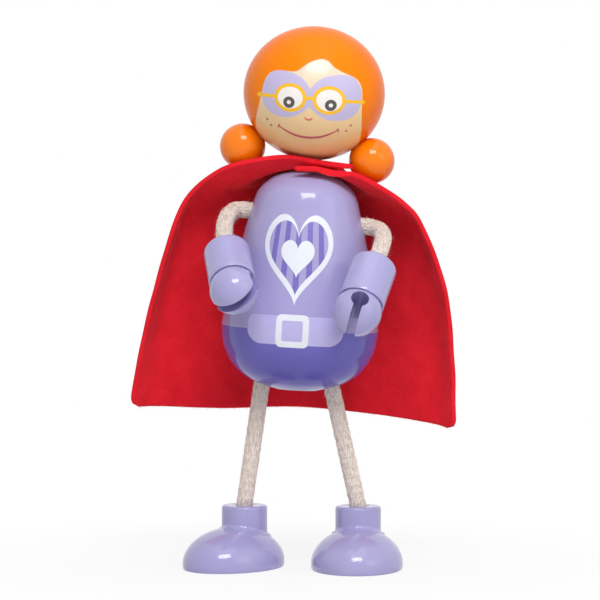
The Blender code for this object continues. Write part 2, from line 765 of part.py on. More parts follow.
def make_cape():
    """The yoke, which lies on the shoulders, and the panel that hangs and swings from it."""
    yoke = cape_surface(cape_columns, yoke_rows, 0.0, 1.0 - cape_seam_share)
    panel = cape_surface(cape_columns, panel_rows, 1.0 + cape_seam_share, 2.0)
    down = np.linspace(0.0, 1.0, panel_rows + 1)[:, None]
    across = np.linspace(0.0, cape_hem_waves * math.tau, cape_columns + 1)[None, :]
    panel[..., 1] += cape_hem_wave * down**2 * np.sin(across)
    middle = panel[0, cape_columns // 2]
    hinge = axis_frame(Vector(middle), x_axis, z_axis)
    guide("cape_swing", torso_frame @ hinge, "torso_axes")
    felt("cape_yoke", yoke, "torso_axes")
    felt("cape_panel", panel, "cape_swing")


guide("torso_axes", torso_frame)
guide("neck_turn", head_frame, "torso_axes")
make_torso()
make_neck_peg()
make_head()
make_arm_rope()
for limb_side in side_sign:
    make_arm(limb_side)
    make_leg(limb_side)
make_cape()
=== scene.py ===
"""Bendy doll, dressed for its picture.

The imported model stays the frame. Every visible solid is redrawn here as a fine surface:
turned wood, printed face and clothes, moulded lilac plastic, braided rope and red felt.
Lengths are metres. Torso, arms and cape are laid out in the torso's own frame, whose origin
is the torso's lowest point, and the face in the head's, whose origin is the torso's top.
"""

import math
from functools import partial

import bmesh
import bpy
import numpy as np
from mathutils import Matrix, Vector


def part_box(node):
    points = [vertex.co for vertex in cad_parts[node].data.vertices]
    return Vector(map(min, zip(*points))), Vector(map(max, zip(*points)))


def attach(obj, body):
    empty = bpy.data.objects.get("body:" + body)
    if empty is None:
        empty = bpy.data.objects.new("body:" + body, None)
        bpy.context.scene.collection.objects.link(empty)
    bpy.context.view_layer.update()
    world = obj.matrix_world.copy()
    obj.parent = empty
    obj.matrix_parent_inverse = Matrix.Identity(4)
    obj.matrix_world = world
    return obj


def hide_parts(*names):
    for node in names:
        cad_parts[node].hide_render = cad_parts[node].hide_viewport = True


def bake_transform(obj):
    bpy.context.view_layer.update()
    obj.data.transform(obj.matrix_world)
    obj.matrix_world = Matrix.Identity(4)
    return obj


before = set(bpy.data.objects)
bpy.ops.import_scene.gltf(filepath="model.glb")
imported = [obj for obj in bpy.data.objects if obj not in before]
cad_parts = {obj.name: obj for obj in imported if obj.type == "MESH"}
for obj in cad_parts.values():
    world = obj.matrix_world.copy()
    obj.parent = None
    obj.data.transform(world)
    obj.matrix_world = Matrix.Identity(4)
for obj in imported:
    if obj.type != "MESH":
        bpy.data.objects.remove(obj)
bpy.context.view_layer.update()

# Posture, as the solids have it
torso_place = Vector((0.0013, 0.0038, 0.0388))
torso_lean = math.radians(3.0)
head_tilt = math.radians(1.5)
side_sign = {"right": -1, "left": 1}

# Turned wood: the outlines' shares are of radius and height
torso_height = 0.0474
torso_radius = 0.0171
torso_shares = np.array([
    (0.24, 1.0), (0.40, 0.983), (0.52, 0.952), (0.615, 0.912), (0.665, 0.868), (0.70, 0.815),
    (0.765, 0.73), (0.845, 0.60), (0.91, 0.48), (0.965, 0.38), (1.0, 0.29), (0.985, 0.22),
    (0.945, 0.17), (0.87, 0.12), (0.76, 0.074), (0.60, 0.036), (0.44, 0.014), (0.30, 0.0),
])
foot_top_share = 0.2
trouser_top = 0.0134
seam_clearance = 0.0002
arm_hole_height = 0.0374
arm_hole_tilt = math.radians(4.8)
head_radius = 0.0154
head_half_height = 0.01455
head_centre = 0.01725
bun_radius = 0.0050
bun_angle = {"right": math.radians(40.8), "left": math.radians(45.0)}
bun_sink = 0.0006

# Prints: places on the torso are an angle from the front in degrees, and a height
print_depth = 0.00004
sharp_angle = math.radians(35.0)
belt_place, belt_box, belt_taper = (0.8, 0.0135), (0.0110, 0.0031, 0.0016), 0.16
buckle_place = (-0.8, 0.0134)
buckle_outer, buckle_inner = (0.00355, 0.00350, 0.0011), (0.00225, 0.00220, 0.0004)
badge_place, badge_radius, badge_rise = (-0.6, 0.0285), 0.0148, 0.00035
badge_edge, badge_band, badge_inside = (0.0168, 0.0194), (0.0142, 0.0160), (0.0145, 0.0163)
stripe_step, stripe_half_width = 0.0027, 0.00062
small_heart, small_heart_rise = (0.0076, 0.0080), 0.0002
face_turn = 1.3
skin_lift, mask_lift, lens_lift, line_lift = 0.000014, 0.000030, 0.000044, 0.00005
temple_lift, pupil_lift, rim_lift = 0.000054, 0.000060, 0.000062
bridge_lift, dot_lift = 0.00007, 0.000074

# Rope
rope_radius = 0.00175
bend_clearance = 0.0014
braid_strands = 15
braid_pitch = 0.0330
braid_lap = 0.9
furrow_share = 0.6
ring_step = 0.00013
arm_hole_run = 0.0115
cuff_run = 0.0038
hip_offset = 0.0077
hip_link = 0.0045
leg_hole_run = 0.0050
boot_run = 0.0055

# Plastic
cuff_radius = 0.0050
cuff_length = 0.0108
hand_radius = 0.0052
hand_reach = 0.0026
grip_radius = 0.0019
grip_slot = 0.0019
cuff_offset = {
    "right": Vector((-0.00221, -0.0119, -0.00887)),
    "left": Vector((0.00239, -0.0120, -0.00779)),
}
forearm_way = {
    "right": Vector((0.2365, -0.7622, -0.6027)),
    "left": Vector((-0.1968, -0.6358, -0.7468)),
}
arm_slack = 0.36
grip_way = {
    "right": Vector((0.8732, -0.1054, 0.4759)),
    "left": Vector((0.1341, -0.7465, 0.6517)),
}
boot_height = 0.0133
toe_out = {"right": math.radians(30.0), "left": math.radians(0.0)}

# Felt: the ribs' shares are of the cape's three sizes, from neck to hem, right to left
felt_thickness = 0.0011
cape_sizes = np.array((0.0370, 0.0188, 0.0540))
cape_neck = np.array((0.0, 0.0, 0.0487))
cape_corner = 0.0026
cape_wave = 0.0006
bun_clearance = 0.00035
cape_rib_shares = np.array([
    [(0.275, -0.255, 0.006), (0.075, -0.355, 0.020), (-0.105, -0.385, 0.035),
     (-0.30, -0.365, 0.014), (-0.50, -0.245, -0.03), (-0.66, -0.105, -0.115),
     (-0.765, -0.03, -0.24), (-0.865, 0.085, -0.49), (-0.945, 0.19, -0.74),
     (-1.01, 0.32, -1.023)],
    [(-0.17, -0.08, 0.012), (-0.26, -0.04, -0.035), (-0.37, 0.02, -0.078),
     (-0.47, 0.08, -0.095), (-0.57, 0.15, -0.13), (-0.655, 0.22, -0.17), (-0.71, 0.27, -0.25),
     (-0.80, 0.42, -0.52), (-0.84, 0.53, -0.75), (-0.865, 0.585, -1.021)],
    [(-0.12, 0.235, 0.014), (-0.16, 0.32, -0.02), (-0.20, 0.405, -0.05),
     (-0.235, 0.47, -0.08), (-0.27, 0.535, -0.125), (-0.295, 0.58, -0.18), (-0.32, 0.63, -0.245),
     (-0.385, 0.77, -0.50), (-0.44, 0.85, -0.75), (-0.46, 0.885, -1.020)],
    [(0.0, 0.34, 0.016), (0.0, 0.45, -0.015), (0.0, 0.545, -0.045),
     (0.0, 0.62, -0.085), (0.0, 0.675, -0.13), (0.0, 0.71, -0.18), (0.0, 0.755, -0.245),
     (0.0, 0.915, -0.50), (0.0, 0.99, -0.74), (0.0, 1.0, -1.0)],
    [(0.12, 0.235, 0.012), (0.16, 0.32, -0.02), (0.20, 0.405, -0.055),
     (0.235, 0.47, -0.085), (0.27, 0.535, -0.13), (0.295, 0.58, -0.185), (0.32, 0.63, -0.245),
     (0.375, 0.77, -0.50), (0.42, 0.85, -0.75), (0.44, 0.885, -1.010)],
    [(0.17, -0.08, -0.001), (0.25, -0.05, -0.041), (0.355, 0.02, -0.083),
     (0.45, 0.07, -0.102), (0.54, 0.13, -0.137), (0.60, 0.19, -0.18), (0.655, 0.25, -0.25),
     (0.75, 0.41, -0.52), (0.79, 0.52, -0.75), (0.815, 0.575, -1.026)],
    [(-0.06, -0.46, -0.014), (0.09, -0.475, -0.007), (0.235, -0.43, -0.014),
     (0.35, -0.33, -0.041), (0.465, -0.225, -0.080), (0.58, -0.15, -0.131),
     (0.70, -0.065, -0.23), (0.845, 0.08, -0.47), (0.907, 0.19, -0.73), (0.945, 0.32, -1.043)],
])

world_frame = Matrix.Identity(4)
torso_frame = Matrix.Translation(torso_place) @ Matrix.Rotation(torso_lean, 4, "Y")
head_frame = (torso_frame @ Matrix.Translation((0.0, 0.0, torso_height))
              @ Matrix.Rotation(head_tilt, 4, "Y"))


# Small tools


def placed(points, layout):
    """Points of a layout frame, in the world."""
    m = np.array(layout)
    return np.asarray(points) @ m[:3, :3].T + m[:3, 3]


def axis_frame(place, way, across=Vector((1.0, 0.0, 0.0))):
    """A frame at place with its Z along way and its X as near to across as it can be."""
    z = way.normalized()
    x = (across - across.dot(z) * z).normalized()
    return Matrix.Translation(place) @ Matrix((x, z.cross(x), z)).transposed().to_4x4()


def unit(ways):
    """The same ways, each of length one."""
    return ways / np.linalg.norm(ways, axis=-1, keepdims=True)


def line_marks(points):
    """How far along a line each of its points lies."""
    steps = np.linalg.norm(np.diff(points, axis=0), axis=1)
    return np.concatenate([[0.0], np.cumsum(steps)])


def along_line(want, marks, values):
    """What a line's points carry, read between them at the wanted marks."""
    return np.stack([np.interp(want, marks, c) for c in values.T], -1)


def smooth_line(points, spans):
    """A smooth curve through the points: a cubic from each to the next, tangent to both."""
    p = np.asarray(points, float)
    ends = np.concatenate([[2 * p[0] - p[1]], p, [2 * p[-1] - p[-2]]])
    t = (np.arange(spans) / spans)[:, None]
    rows = [0.5 * (2 * b + (c - a) * t + (2 * a - 5 * b + 4 * c - d) * t**2
                   + (3 * b - a - 3 * c + d) * t**3)
            for a, b, c, d in zip(ends[:-3], ends[1:-2], ends[2:-1], ends[3:])]
    return np.concatenate(rows + [p[-1:]])


def even_line(points, count):
    """Points spread evenly along a line, so that each step has one length."""
    marks = line_marks(points)
    return along_line(np.linspace(0.0, marks[-1], count), marks, points)


def circle(count):
    """Evenly spaced points on a circle of radius one, anticlockwise."""
    t = math.tau * np.arange(count) / count
    return np.stack([np.cos(t), np.sin(t)], -1)


def arc(radius, start, end, count, radius_out=0.0, height=0.0):
    """Points of (radius, height) on a circle between two angles above the horizontal."""
    a = np.linspace(start, end, count)
    return np.stack([radius_out + radius * np.cos(a), height + radius * np.sin(a)], -1)


def grid_faces(rows, columns, ring=False, loop=False):
    """Corner numbers of the quads of a grid; a ring joins its last column to its first,
    and a loop its last row to its first."""
    i, j = np.meshgrid(np.arange(rows if loop else rows - 1),
                       np.arange(columns if ring else columns - 1), indexing="ij")
    i, j = i.ravel(), j.ravel()
    down, over = (i + 1) % rows, (j + 1) % columns
    return np.stack([i * columns + j, i * columns + over, down * columns + over,
                     down * columns + j], -1)


def in_scene(name, data):
    """A new object of the scene, at the origin."""
    made = bpy.data.objects.new(name, data)
    bpy.context.scene.collection.objects.link(made)
    return made


def face_outwards(mesh, merge):
    """Turn a closed mesh's faces outwards, once its poles are merged to one point if asked."""
    shape = bmesh.new()
    shape.from_mesh(mesh)
    if merge:
        bmesh.ops.remove_doubles(shape, verts=shape.verts, dist=0.0000005)
        bmesh.ops.dissolve_degenerate(shape, edges=shape.edges, dist=0.0000002)
    bmesh.ops.recalc_face_normals(shape, faces=shape.faces)
    shape.to_mesh(mesh)
    shape.free()


def mesh_piece(name, points, quads, finishes, layout=world_frame, merge=True, paint=None,
               uv=None, furrow=None):
    """An object at the origin from a layout's points and quads, with its poles merged. Paint
    picks each quad's finish; a UV place and a furrow's depth may be given for each point."""
    mesh = bpy.data.meshes.new(name)
    points = placed(np.reshape(points, (-1, 3)), layout)
    mesh.vertices.add(len(points))
    mesh.vertices.foreach_set("co", points.astype(np.float32).ravel())
    mesh.loops.add(quads.size)
    mesh.loops.foreach_set("vertex_index", quads.astype(np.int32).ravel())
    mesh.polygons.add(len(quads))
    mesh.polygons.foreach_set("loop_start", np.arange(len(quads), dtype=np.int32) * 4)
    if paint is not None:
        mesh.polygons.foreach_set("material_index", paint.astype(np.int32))
    mesh.update(calc_edges=True)
    if uv is not None:
        layer = mesh.uv_layers.new(name="surface")
        layer.data.foreach_set("uv", uv.astype(np.float32)[quads.ravel()].ravel())
    if furrow is not None:
        depth = mesh.attributes.new("furrow", "FLOAT", "POINT")
        depth.data.foreach_set("value", furrow.astype(np.float32).ravel())
    for one in finishes:
        mesh.materials.append(one)
    made = in_scene(name, mesh)
    if merge:
        face_outwards(mesh, merge=True)
    mesh.shade_smooth()
    return made


def turned(name, outline, finishes, layout, steps, paint=None):
    """A surface turned about Z: each (radius, height) of the outline makes one ring."""
    r, z = np.asarray(outline, float).T
    rings = np.stack([*(r[:, None] * c for c in circle(steps).T),
                      np.repeat(z[:, None], steps, 1)], -1)
    if paint is not None:
        paint = np.repeat(paint, steps)
    return mesh_piece(name, rings, grid_faces(len(r), steps, ring=True), finishes, layout,
                      paint=paint)


def printed(wall, body, name, edge_a, edge_b, lift, finish, rows, ring=True):
    """A thin coat of paint between two edges that are given on a wall's own two measures.

    Each row lies a share of the way from edge a to edge b. The coat's face stands off the
    wall by lift, its back is sunk below it, and side walls close it.
    """
    b = np.asarray(edge_b, float)
    a = np.broadcast_to(np.asarray(edge_a, float), b.shape)
    share = np.linspace(0.0, 1.0, rows)[:, None, None]
    flat = (1 - share) * a + share * b
    points = np.concatenate([wall(flat, lift), wall(flat[::-1], -print_depth)])
    count, columns = points.shape[:2]
    quads = grid_faces(count, columns, ring=ring, loop=True)
    if not ring:
        i = np.arange(rows - 1)
        end = columns * np.stack([i, i + 1, count - 2 - i, count - 1 - i], -1)
        quads = np.concatenate([quads, end, end + columns - 1])
    made = mesh_piece(name, points, quads, [finish])
    made.data.set_sharp_from_angle(angle=sharp_angle)
    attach(made, body)
    return made


# Finishes


def shader_of(name):
    """A new Principled finish, its node tree and its shader."""
    made = bpy.data.materials.new(name)
    made.use_nodes = True
    return made, made.node_tree, made.node_tree.nodes["Principled BSDF"]


def feed(tree, node, inputs):
    """Give each input of a node a plain value, or join it to another node's output."""
    for socket, value in inputs.items():
        if isinstance(value, bpy.types.NodeSocket):
            tree.links.new(value, node.inputs[socket])
        else:
            node.inputs[socket].default_value = value


def add(tree, kind, inputs, out=0, **settings):
    """A new node with its settings and inputs, of which one output is handed back."""
    made = tree.nodes.new("ShaderNode" + kind)
    for setting, value in settings.items():
        setattr(made, setting, value)
    feed(tree, made, inputs)
    return made.outputs[out]


def maths(tree, operation, *terms):
    """One sum on plain values or other nodes' outputs."""
    return add(tree, "Math", dict(enumerate(terms)), operation=operation)


def along_axis(tree, axis):
    """How far a spot lies along one of the object's own axes."""
    return add(tree, "SeparateXYZ", {"Vector": add(tree, "TexCoord", {}, "Object")}, axis)


def noise(tree, scale, detail=3.0, rough=0.55, stretch=None, space="Object"):
    """Noise on the object's own coordinates or its UV map, stretched if asked."""
    place = add(tree, "TexCoord", {}, space)
    if stretch:
        place = add(tree, "Mapping", {"Vector": place, "Scale": stretch})
    return add(tree, "TexNoise", {"Vector": place, "Scale": scale, "Detail": detail,
                                  "Roughness": rough})


def ramp(tree, source, *stops):
    """A colour ramp with (place, colour) stops."""
    made = tree.nodes.new("ShaderNodeValToRGB")
    bar = made.color_ramp
    while len(bar.elements) < len(stops):
        bar.elements.new(0.5)
    for element, (place, colour) in zip(bar.elements, stops):
        element.position = place
        element.color = (*colour, 1.0)
    feed(tree, made, {"Fac": source})
    return made.outputs["Color"]


def ranged(tree, source, start=0.0, end=1.0, low=0.0, high=1.0, smooth=False):
    """Low where the source is at start and high where it is at end, straight or smooth
    between."""
    return add(tree, "MapRange", {"Value": source, "From Min": start, "From Max": end,
                                  "To Min": low, "To Max": high},
               interpolation_type="SMOOTHSTEP" if smooth else "LINEAR")


def bump(tree, source, strength, depth):
    """A bump as high as a texture's value."""
    return add(tree, "Bump", {"Height": source, "Strength": strength, "Distance": depth})


def darkened(tree, colour, shade, share):
    """A colour multiplied by a shade, by a share."""
    return add(tree, "Mix", {"Factor": share, "A": colour, "B": shade}, "Result",
               data_type="RGBA", blend_type="MULTIPLY")


def gloss_paint(name, colour, deep, low, high, rough, coat, index, side_shade=None, rubbed=None):
    """Sprayed gloss paint with a faint wander, orange peel and a clear coat, painted deeper in
    tone low down on the piece than high up as a painted shade. Where two front-to-back depths
    are given, it is also painted deeper in tone past the nearer one: a painted shade towards
    the piece's sides and back. Where rubbed gives two heights, cloth has rubbed it dull above
    them."""
    made, tree, shader = shader_of(name)
    level = along_axis(tree, "Z")
    # Painted shade: the colour is deeper low down on the piece than high up.
    tone = ranged(tree, level, low, high, high=0.5 if side_shade else 1.0, smooth=True)
    # Painted shade: the colour is also deeper towards the piece's sides and back.
    if side_shade:
        facing = ranged(tree, along_axis(tree, "Y"), side_shade[1], side_shade[0], smooth=True)
        tone = maths(tree, "MULTIPLY_ADD", facing, 0.5, tone)
    wander = noise(tree, 110.0, 2.0)
    tone = maths(tree, "MULTIPLY_ADD", wander, 0.22, tone)
    gloss = ranged(tree, wander, low=rough - 0.02, high=rough + 0.05)
    if rubbed:
        gloss = maths(tree, "MAXIMUM", ranged(tree, level, *rubbed, high=0.7, smooth=True), gloss)
    feed(tree, shader, {"Base Color": ramp(tree, tone, (0.11, deep), (1.0, colour)),
                        "Roughness": gloss,
                        "Normal": bump(tree, noise(tree, 1400.0, 2.0), 0.05, 0.00002),
                        "Coat Weight": coat, "Coat Roughness": 0.05, "IOR": index})
    return made


def satin_plastic(name, colour, deep):
    """Moulded plastic: nearly even colour with a soft cloudiness, a gloss that is a little
    duller in patches where the piece has been handled, and very shallow flow marks."""
    made, tree, shader = shader_of(name)
    cloud, handled, flow = noise(tree, 90.0), noise(tree, 240.0, 4.0), noise(tree, 260.0, 3.0, 0.6)
    feed(tree, shader, {"Base Color": ramp(tree, cloud, (0.25, deep), (0.75, colour)),
                        "Roughness": ranged(tree, handled, low=0.09, high=0.20),
                        "Normal": bump(tree, flow, 0.12, 0.00006),
                        "Coat Weight": 0.15, "Coat Roughness": 0.05, "IOR": 1.42})
    return made


def print_ink(name, colour):
    """Pad-printed ink: one colour with a faint mottle."""
    made, tree, shader = shader_of(name)
    mottle = noise(tree, 900.0)
    dull = tuple(0.97 * c for c in colour)
    feed(tree, shader, {"Base Color": ramp(tree, mottle, (0.35, dull), (0.6, colour)),
                        "Roughness": ranged(tree, mottle, low=0.27, high=0.36)})
    return made


def varnished_skin():
    """Varnished pale wood: fine grain along the turning, darker and more orange towards the
    chin, partly the wood's own tone and partly painted shade and a painted reflection of the
    red cape below.
    """
    made, tree, shader = shader_of("varnished_skin")
    # Painted shade and a painted red reflection of the cape: the skin is darker and more orange
    # towards the chin.
    tone = ramp(tree, ranged(tree, along_axis(tree, "Z"), 0.0895, 0.1115),
                (0.0, (0.84, 0.46, 0.20)), (0.18, (0.86, 0.55, 0.25)),
                (0.42, (0.84, 0.61, 0.33)), (0.72, (0.79, 0.65, 0.47)),
                (1.0, (0.74, 0.61, 0.53)))
    grain = noise(tree, 500.0, 4.0, 0.6, (6.0, 6.0, 0.5))
    line = ramp(tree, grain, (0.3, (0.72, 0.62, 0.50)), (0.6, (1.0, 1.0, 1.0)))
    feed(tree, shader, {"Base Color": darkened(tree, tone, line, 0.10),
                        "Roughness": ranged(tree, grain, low=0.26, high=0.36),
                        "Coat Weight": 0.15, "Coat Roughness": 0.12, "IOR": 1.40})
    return made


def cotton(name, light, dark, braided):
    """Cotton, soft all over and mottled in small patches. Braided, it has cream threads that
    run along each strand by the piece's own UV map, and painted shade in the furrows between
    the strands, lighter low down on the doll."""
    made, tree, shader = shader_of(name)
    patch = noise(tree, 620.0, 4.0, 0.7)
    if braided:
        threads = noise(tree, 1.0, 3.0, 0.6, (3.2, 0.55, 1.0), "UV")
        middle = tuple(0.3 * a + 0.7 * b for a, b in zip(light, dark))
        thread_tone = ramp(tree, threads, (0.36, middle), (0.50, light))
        # Painted shade in the furrows between the strands, mixed with the random mottle and
        # lighter low down on the doll.
        furrow = add(tree, "Attribute", {}, "Fac", attribute_name="furrow")
        shade_fade_low = ranged(tree, along_axis(tree, "Z"), 0.040, 0.024, high=0.30, smooth=True)
        shallow = maths(tree, "ADD", furrow, shade_fade_low)
        furrow_shade_and_mottle = maths(tree, "MULTIPLY_ADD", patch, 1.15, shallow)
        furrow_shade_tone = ramp(tree, furrow_shade_and_mottle, (0.56, dark), (0.98, (1.0, 1.0, 1.0)))
        feed(tree, shader, {"Base Color": darkened(tree, thread_tone, furrow_shade_tone, 1.0),
                            "Normal": bump(tree, threads, 0.9, 0.00030)})
    else:
        feed(tree, shader, {"Base Color": ramp(tree, patch, (0.30, dark), (0.62, light))})
    feed(tree, shader, {"Roughness": ranged(tree, patch, low=0.88, high=1.0),
                        "Sheen Weight": 0.25, "Sheen Roughness": 0.6,
                        "Specular IOR Level": 0.15})
    return made


def wool_felt(name, light, dark):
    """Felt: matted fibres in soft clouds, fine lighter specks and small tufts, a soft sheen
    and no gloss."""
    made, tree, shader = shader_of(name)
    matted, fibre = noise(tree, 170.0, 6.0, 0.72), noise(tree, 2300.0, 4.0, 0.75)
    tone = ramp(tree, matted, (0.30, dark), (0.62, light))
    speck = ramp(tree, fibre, (0.28, (0.60, 0.60, 0.60)), (0.60, (1.0, 1.0, 1.0)))
    feed(tree, shader, {"Base Color": darkened(tree, tone, speck, 0.32),
                        "Normal": bump(tree, fibre, 0.5, 0.00016), "Roughness": 0.97,
                        "Sheen Weight": 0.27, "Sheen Roughness": 0.45,
                        "Sheen Tint": (1.0, 0.20, 0.22, 1.0), "Specular IOR Level": 0.08})
    return made


def plain_wood():
    """A bare dowel: long grain in two browns."""
    made, tree, shader = shader_of("plain_wood")
    grain = noise(tree, 900.0, 4.0, 0.6, (3.0, 3.0, 0.3))
    tone = ramp(tree, grain, (0.3, (0.42, 0.26, 0.13)), (0.65, (0.66, 0.47, 0.28)))
    feed(tree, shader, {"Base Color": tone, "Normal": bump(tree, grain, 0.2, 0.00005),
                        "Roughness": 0.65})
    return made


def drawn_wire():
    """Drawn steel wire: grey metal with fine lengthwise marks."""
    made, tree, shader = shader_of("drawn_wire")
    marks = noise(tree, 2500.0, 2.0, 0.5, (1.0, 1.0, 0.1))
    tone = ramp(tree, marks, (0.3, (0.42, 0.42, 0.44)), (0.7, (0.62, 0.62, 0.63)))
    feed(tree, shader, {"Base Color": tone, "Metallic": 1.0,
                        "Roughness": ranged(tree, marks, low=0.28, high=0.42)})
    return made


# These paints are painted deeper in tone low down, and the hair and buns also towards their sides
# and back: painted shade.
lilac_paint = gloss_paint("lilac_paint", (0.380, 0.348, 0.610), (0.352, 0.318, 0.590),
                          0.045, 0.085, rough=0.11, coat=0.10, index=1.37,
                          rubbed=(0.0832, 0.0862))
violet_paint = gloss_paint("violet_paint", (0.145, 0.127, 0.470), (0.105, 0.088, 0.390),
                           0.038, 0.052, rough=0.12, coat=0.04, index=1.33)
hair_paint = gloss_paint("hair_paint", (0.93, 0.220, 0.001), (0.82, 0.070, 0.001),
                         0.082, 0.104, rough=0.26, coat=0.0, index=1.22,
                         side_shade=(-0.0108, 0.0048))
bun_paint = gloss_paint("bun_paint", (0.94, 0.210, 0.001), (0.66, 0.028, 0.002),
                        0.0822, 0.0912, rough=0.11, coat=0.12, index=1.33,
                        side_shade=(-0.0005, 0.0050))
skin = varnished_skin()
lilac_plastic = satin_plastic("lilac_plastic", (0.392, 0.376, 0.628), (0.350, 0.328, 0.600))
# Painted shade: the grip's walls get this darker plastic for the shade inside the recess.
grip_shade_plastic = satin_plastic("grip_shade_plastic", (0.290, 0.270, 0.550), (0.255, 0.232, 0.515))
# The rope's dark colour is the painted shade in the braid's furrows.
cream_rope = cotton("cream_rope", (0.95, 0.835, 0.745), (0.44, 0.35, 0.28), braided=True)
rope_fibre = cotton("rope_fibre", (0.88, 0.79, 0.70), (0.74, 0.64, 0.55), braided=False)
red_felt = wool_felt("red_felt", (0.88, 0.019, 0.034), (0.74, 0.012, 0.023))
dowel_wood = plain_wood()
steel_wire = drawn_wire()
white_ink = print_ink("white_ink", (0.75, 0.78, 0.84))
pale_lilac_ink = print_ink("pale_lilac_ink", (0.465, 0.430, 0.735))
violet_ink = print_ink("violet_ink", (0.165, 0.135, 0.470))
mask_ink = print_ink("mask_ink", (0.525, 0.470, 0.700))
yellow_ink = print_ink("yellow_ink", (0.93, 0.50, 0.012))
eye_white_ink = print_ink("eye_white_ink", (0.88, 0.83, 0.79))
grey_ink = print_ink("grey_ink", (0.085, 0.070, 0.065))
mouth_ink = print_ink("mouth_ink", (0.55, 0.090, 0.095))
pink_ink = print_ink("pink_ink", (0.74, 0.125, 0.14))
freckle_ink = print_ink("freckle_ink", (0.42, 0.16, 0.08))


# Torso


def torso_line(spans):
    """The torso's outline as (radius, height), top first, closed at both ends."""
    line = smooth_line(torso_shares, spans) * (torso_radius, torso_height)
    return np.concatenate([[(0.0, torso_height)], line, [(0.0, 0.0)]])


def torso_wall(flat, lift):
    """The torso's surface by angle round from the front, in degrees, and height, stood off
    along the outline's own normal by lift."""
    line = torso_line(24)[1:-1][::-1]
    slope = np.gradient(line, axis=0)
    out = unit(np.stack([slope[:, 1], -slope[:, 0]], -1))
    order = np.argsort(line[:, 1], kind="stable")
    angle, height = np.radians(flat[..., 0]), flat[..., 1]
    r, nr, nz = (np.interp(height, line[order, 1], c[order])
                 for c in (line[:, 0], out[:, 0], out[:, 1]))
    r = r + lift * nr
    local = np.stack([r * np.sin(angle), -r * np.cos(angle), height + lift * nz], -1)
    return placed(local, torso_frame)


def make_torso():
    """The turned torso in two paints that meet round its widest part."""
    line = torso_line(10)
    above = line[line[:, 1] > trouser_top + seam_clearance]
    below = line[line[:, 1] < trouser_top - seam_clearance]
    seam_radius = float(np.interp(trouser_top, line[::-1, 1], line[::-1, 0]))
    line = np.concatenate([above, [(seam_radius, trouser_top)], below])
    paint = (np.arange(len(line) - 1) >= len(above)).astype(int)
    torso = turned("torso_shell", line, [lilac_paint, violet_paint], torso_frame, 192, paint)
    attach(torso, "torso")
    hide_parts("torso")


def rounded_box(half_wide, half_high, corner):
    """A closed outline of a box with round corners, anticlockwise from the right."""
    count = 12
    points = []
    for sx, sz, start in ((1, 1, 0.0), (-1, 1, 0.5), (-1, -1, 1.0), (1, -1, 1.5)):
        a = math.pi * (start + np.linspace(0.0, 0.5, count))
        points.append(np.stack([sx * (half_wide - corner) + corner * np.cos(a),
                                sz * (half_high - corner) + corner * np.sin(a)], -1))
    return even_line(np.concatenate(points + [points[0][:1]]), 8 * count + 1)[:-1]


def on_front(outline, place, radius):
    """An outline in metres, wrapped round the torso's front about a place."""
    turn = math.degrees(1.0) / radius
    return np.stack([place[0] + outline[:, 0] * turn, place[1] + outline[:, 1]], -1)


def heart(width, height):
    """A heart's closed outline: its width goes with the cube of the sine of an angle, and its
    height with a sum of four cosines."""
    count = 160
    t = math.tau * np.arange(count) / count
    x = np.sin(t)**3
    z = (13 * np.cos(t) - 5 * np.cos(2 * t) - 2 * np.cos(3 * t) - np.cos(4 * t)) / 16
    z = z - (z.max() + z.min()) / 2
    return np.stack([x * width / 2, z * height / np.ptp(z)], -1)


def make_torso_print():
    """The belt, the buckle and the chest badge."""
    on_torso = partial(printed, torso_wall, "torso")
    belt = rounded_box(*belt_box)
    narrowing = 1.0 - belt_taper * (belt[:, 1] / -belt_box[1])**2
    belt[:, 0] *= np.where(belt[:, 1] < 0, narrowing, 1.0)
    on_torso("belt_print", belt_place, on_front(belt, belt_place, torso_radius), 0.00003,
             pale_lilac_ink, 12)
    inner, outer = (on_front(rounded_box(*box), buckle_place, torso_radius)
                    for box in (buckle_inner, buckle_outer))
    on_torso("buckle_print", inner, outer, 0.00006, white_ink, 4)
    on_chest = partial(on_front, place=badge_place, radius=badge_radius)
    on_torso("badge_border_print", on_chest(heart(*badge_band) + (0.0, badge_rise)),
             on_chest(heart(*badge_edge)), 0.00003, white_ink, 4)
    inside = heart(*badge_inside) + (0.0, badge_rise)
    right_half = inside[:len(inside) // 2 + 1]
    turn = np.argmax(right_half[:, 0])
    edges = (right_half[turn:][::-1], right_half[:turn + 1])
    for n in range(5):
        middle = stripe_step * (n - 2)
        across = np.linspace(middle - stripe_half_width, middle + stripe_half_width, 9)
        foot, top = (on_chest(np.stack([across, np.interp(np.abs(across), *edge.T)], -1))
                     for edge in edges)
        on_torso(f"badge_stripe_print_{n + 1}", foot, top, 0.00002, violet_ink, 30, ring=False)
    place = (badge_place[0], badge_place[1] + small_heart_rise)
    on_torso("badge_heart_print", place, on_front(heart(*small_heart), place, badge_radius),
             0.00005, white_ink, 8)


# Head


def head_wall(flat, lift):
    """The head's surface by angle round from the front and angle up, both in degrees."""
    side, up = np.radians(flat[..., 0] + face_turn), np.radians(flat[..., 1])
    radius, half = head_radius + lift, head_half_height + lift
    local = np.stack([radius * np.cos(up) * np.sin(side), -radius * np.cos(up) * np.cos(side),
                      head_centre + half * np.sin(up)], -1)
    return placed(local, head_frame)


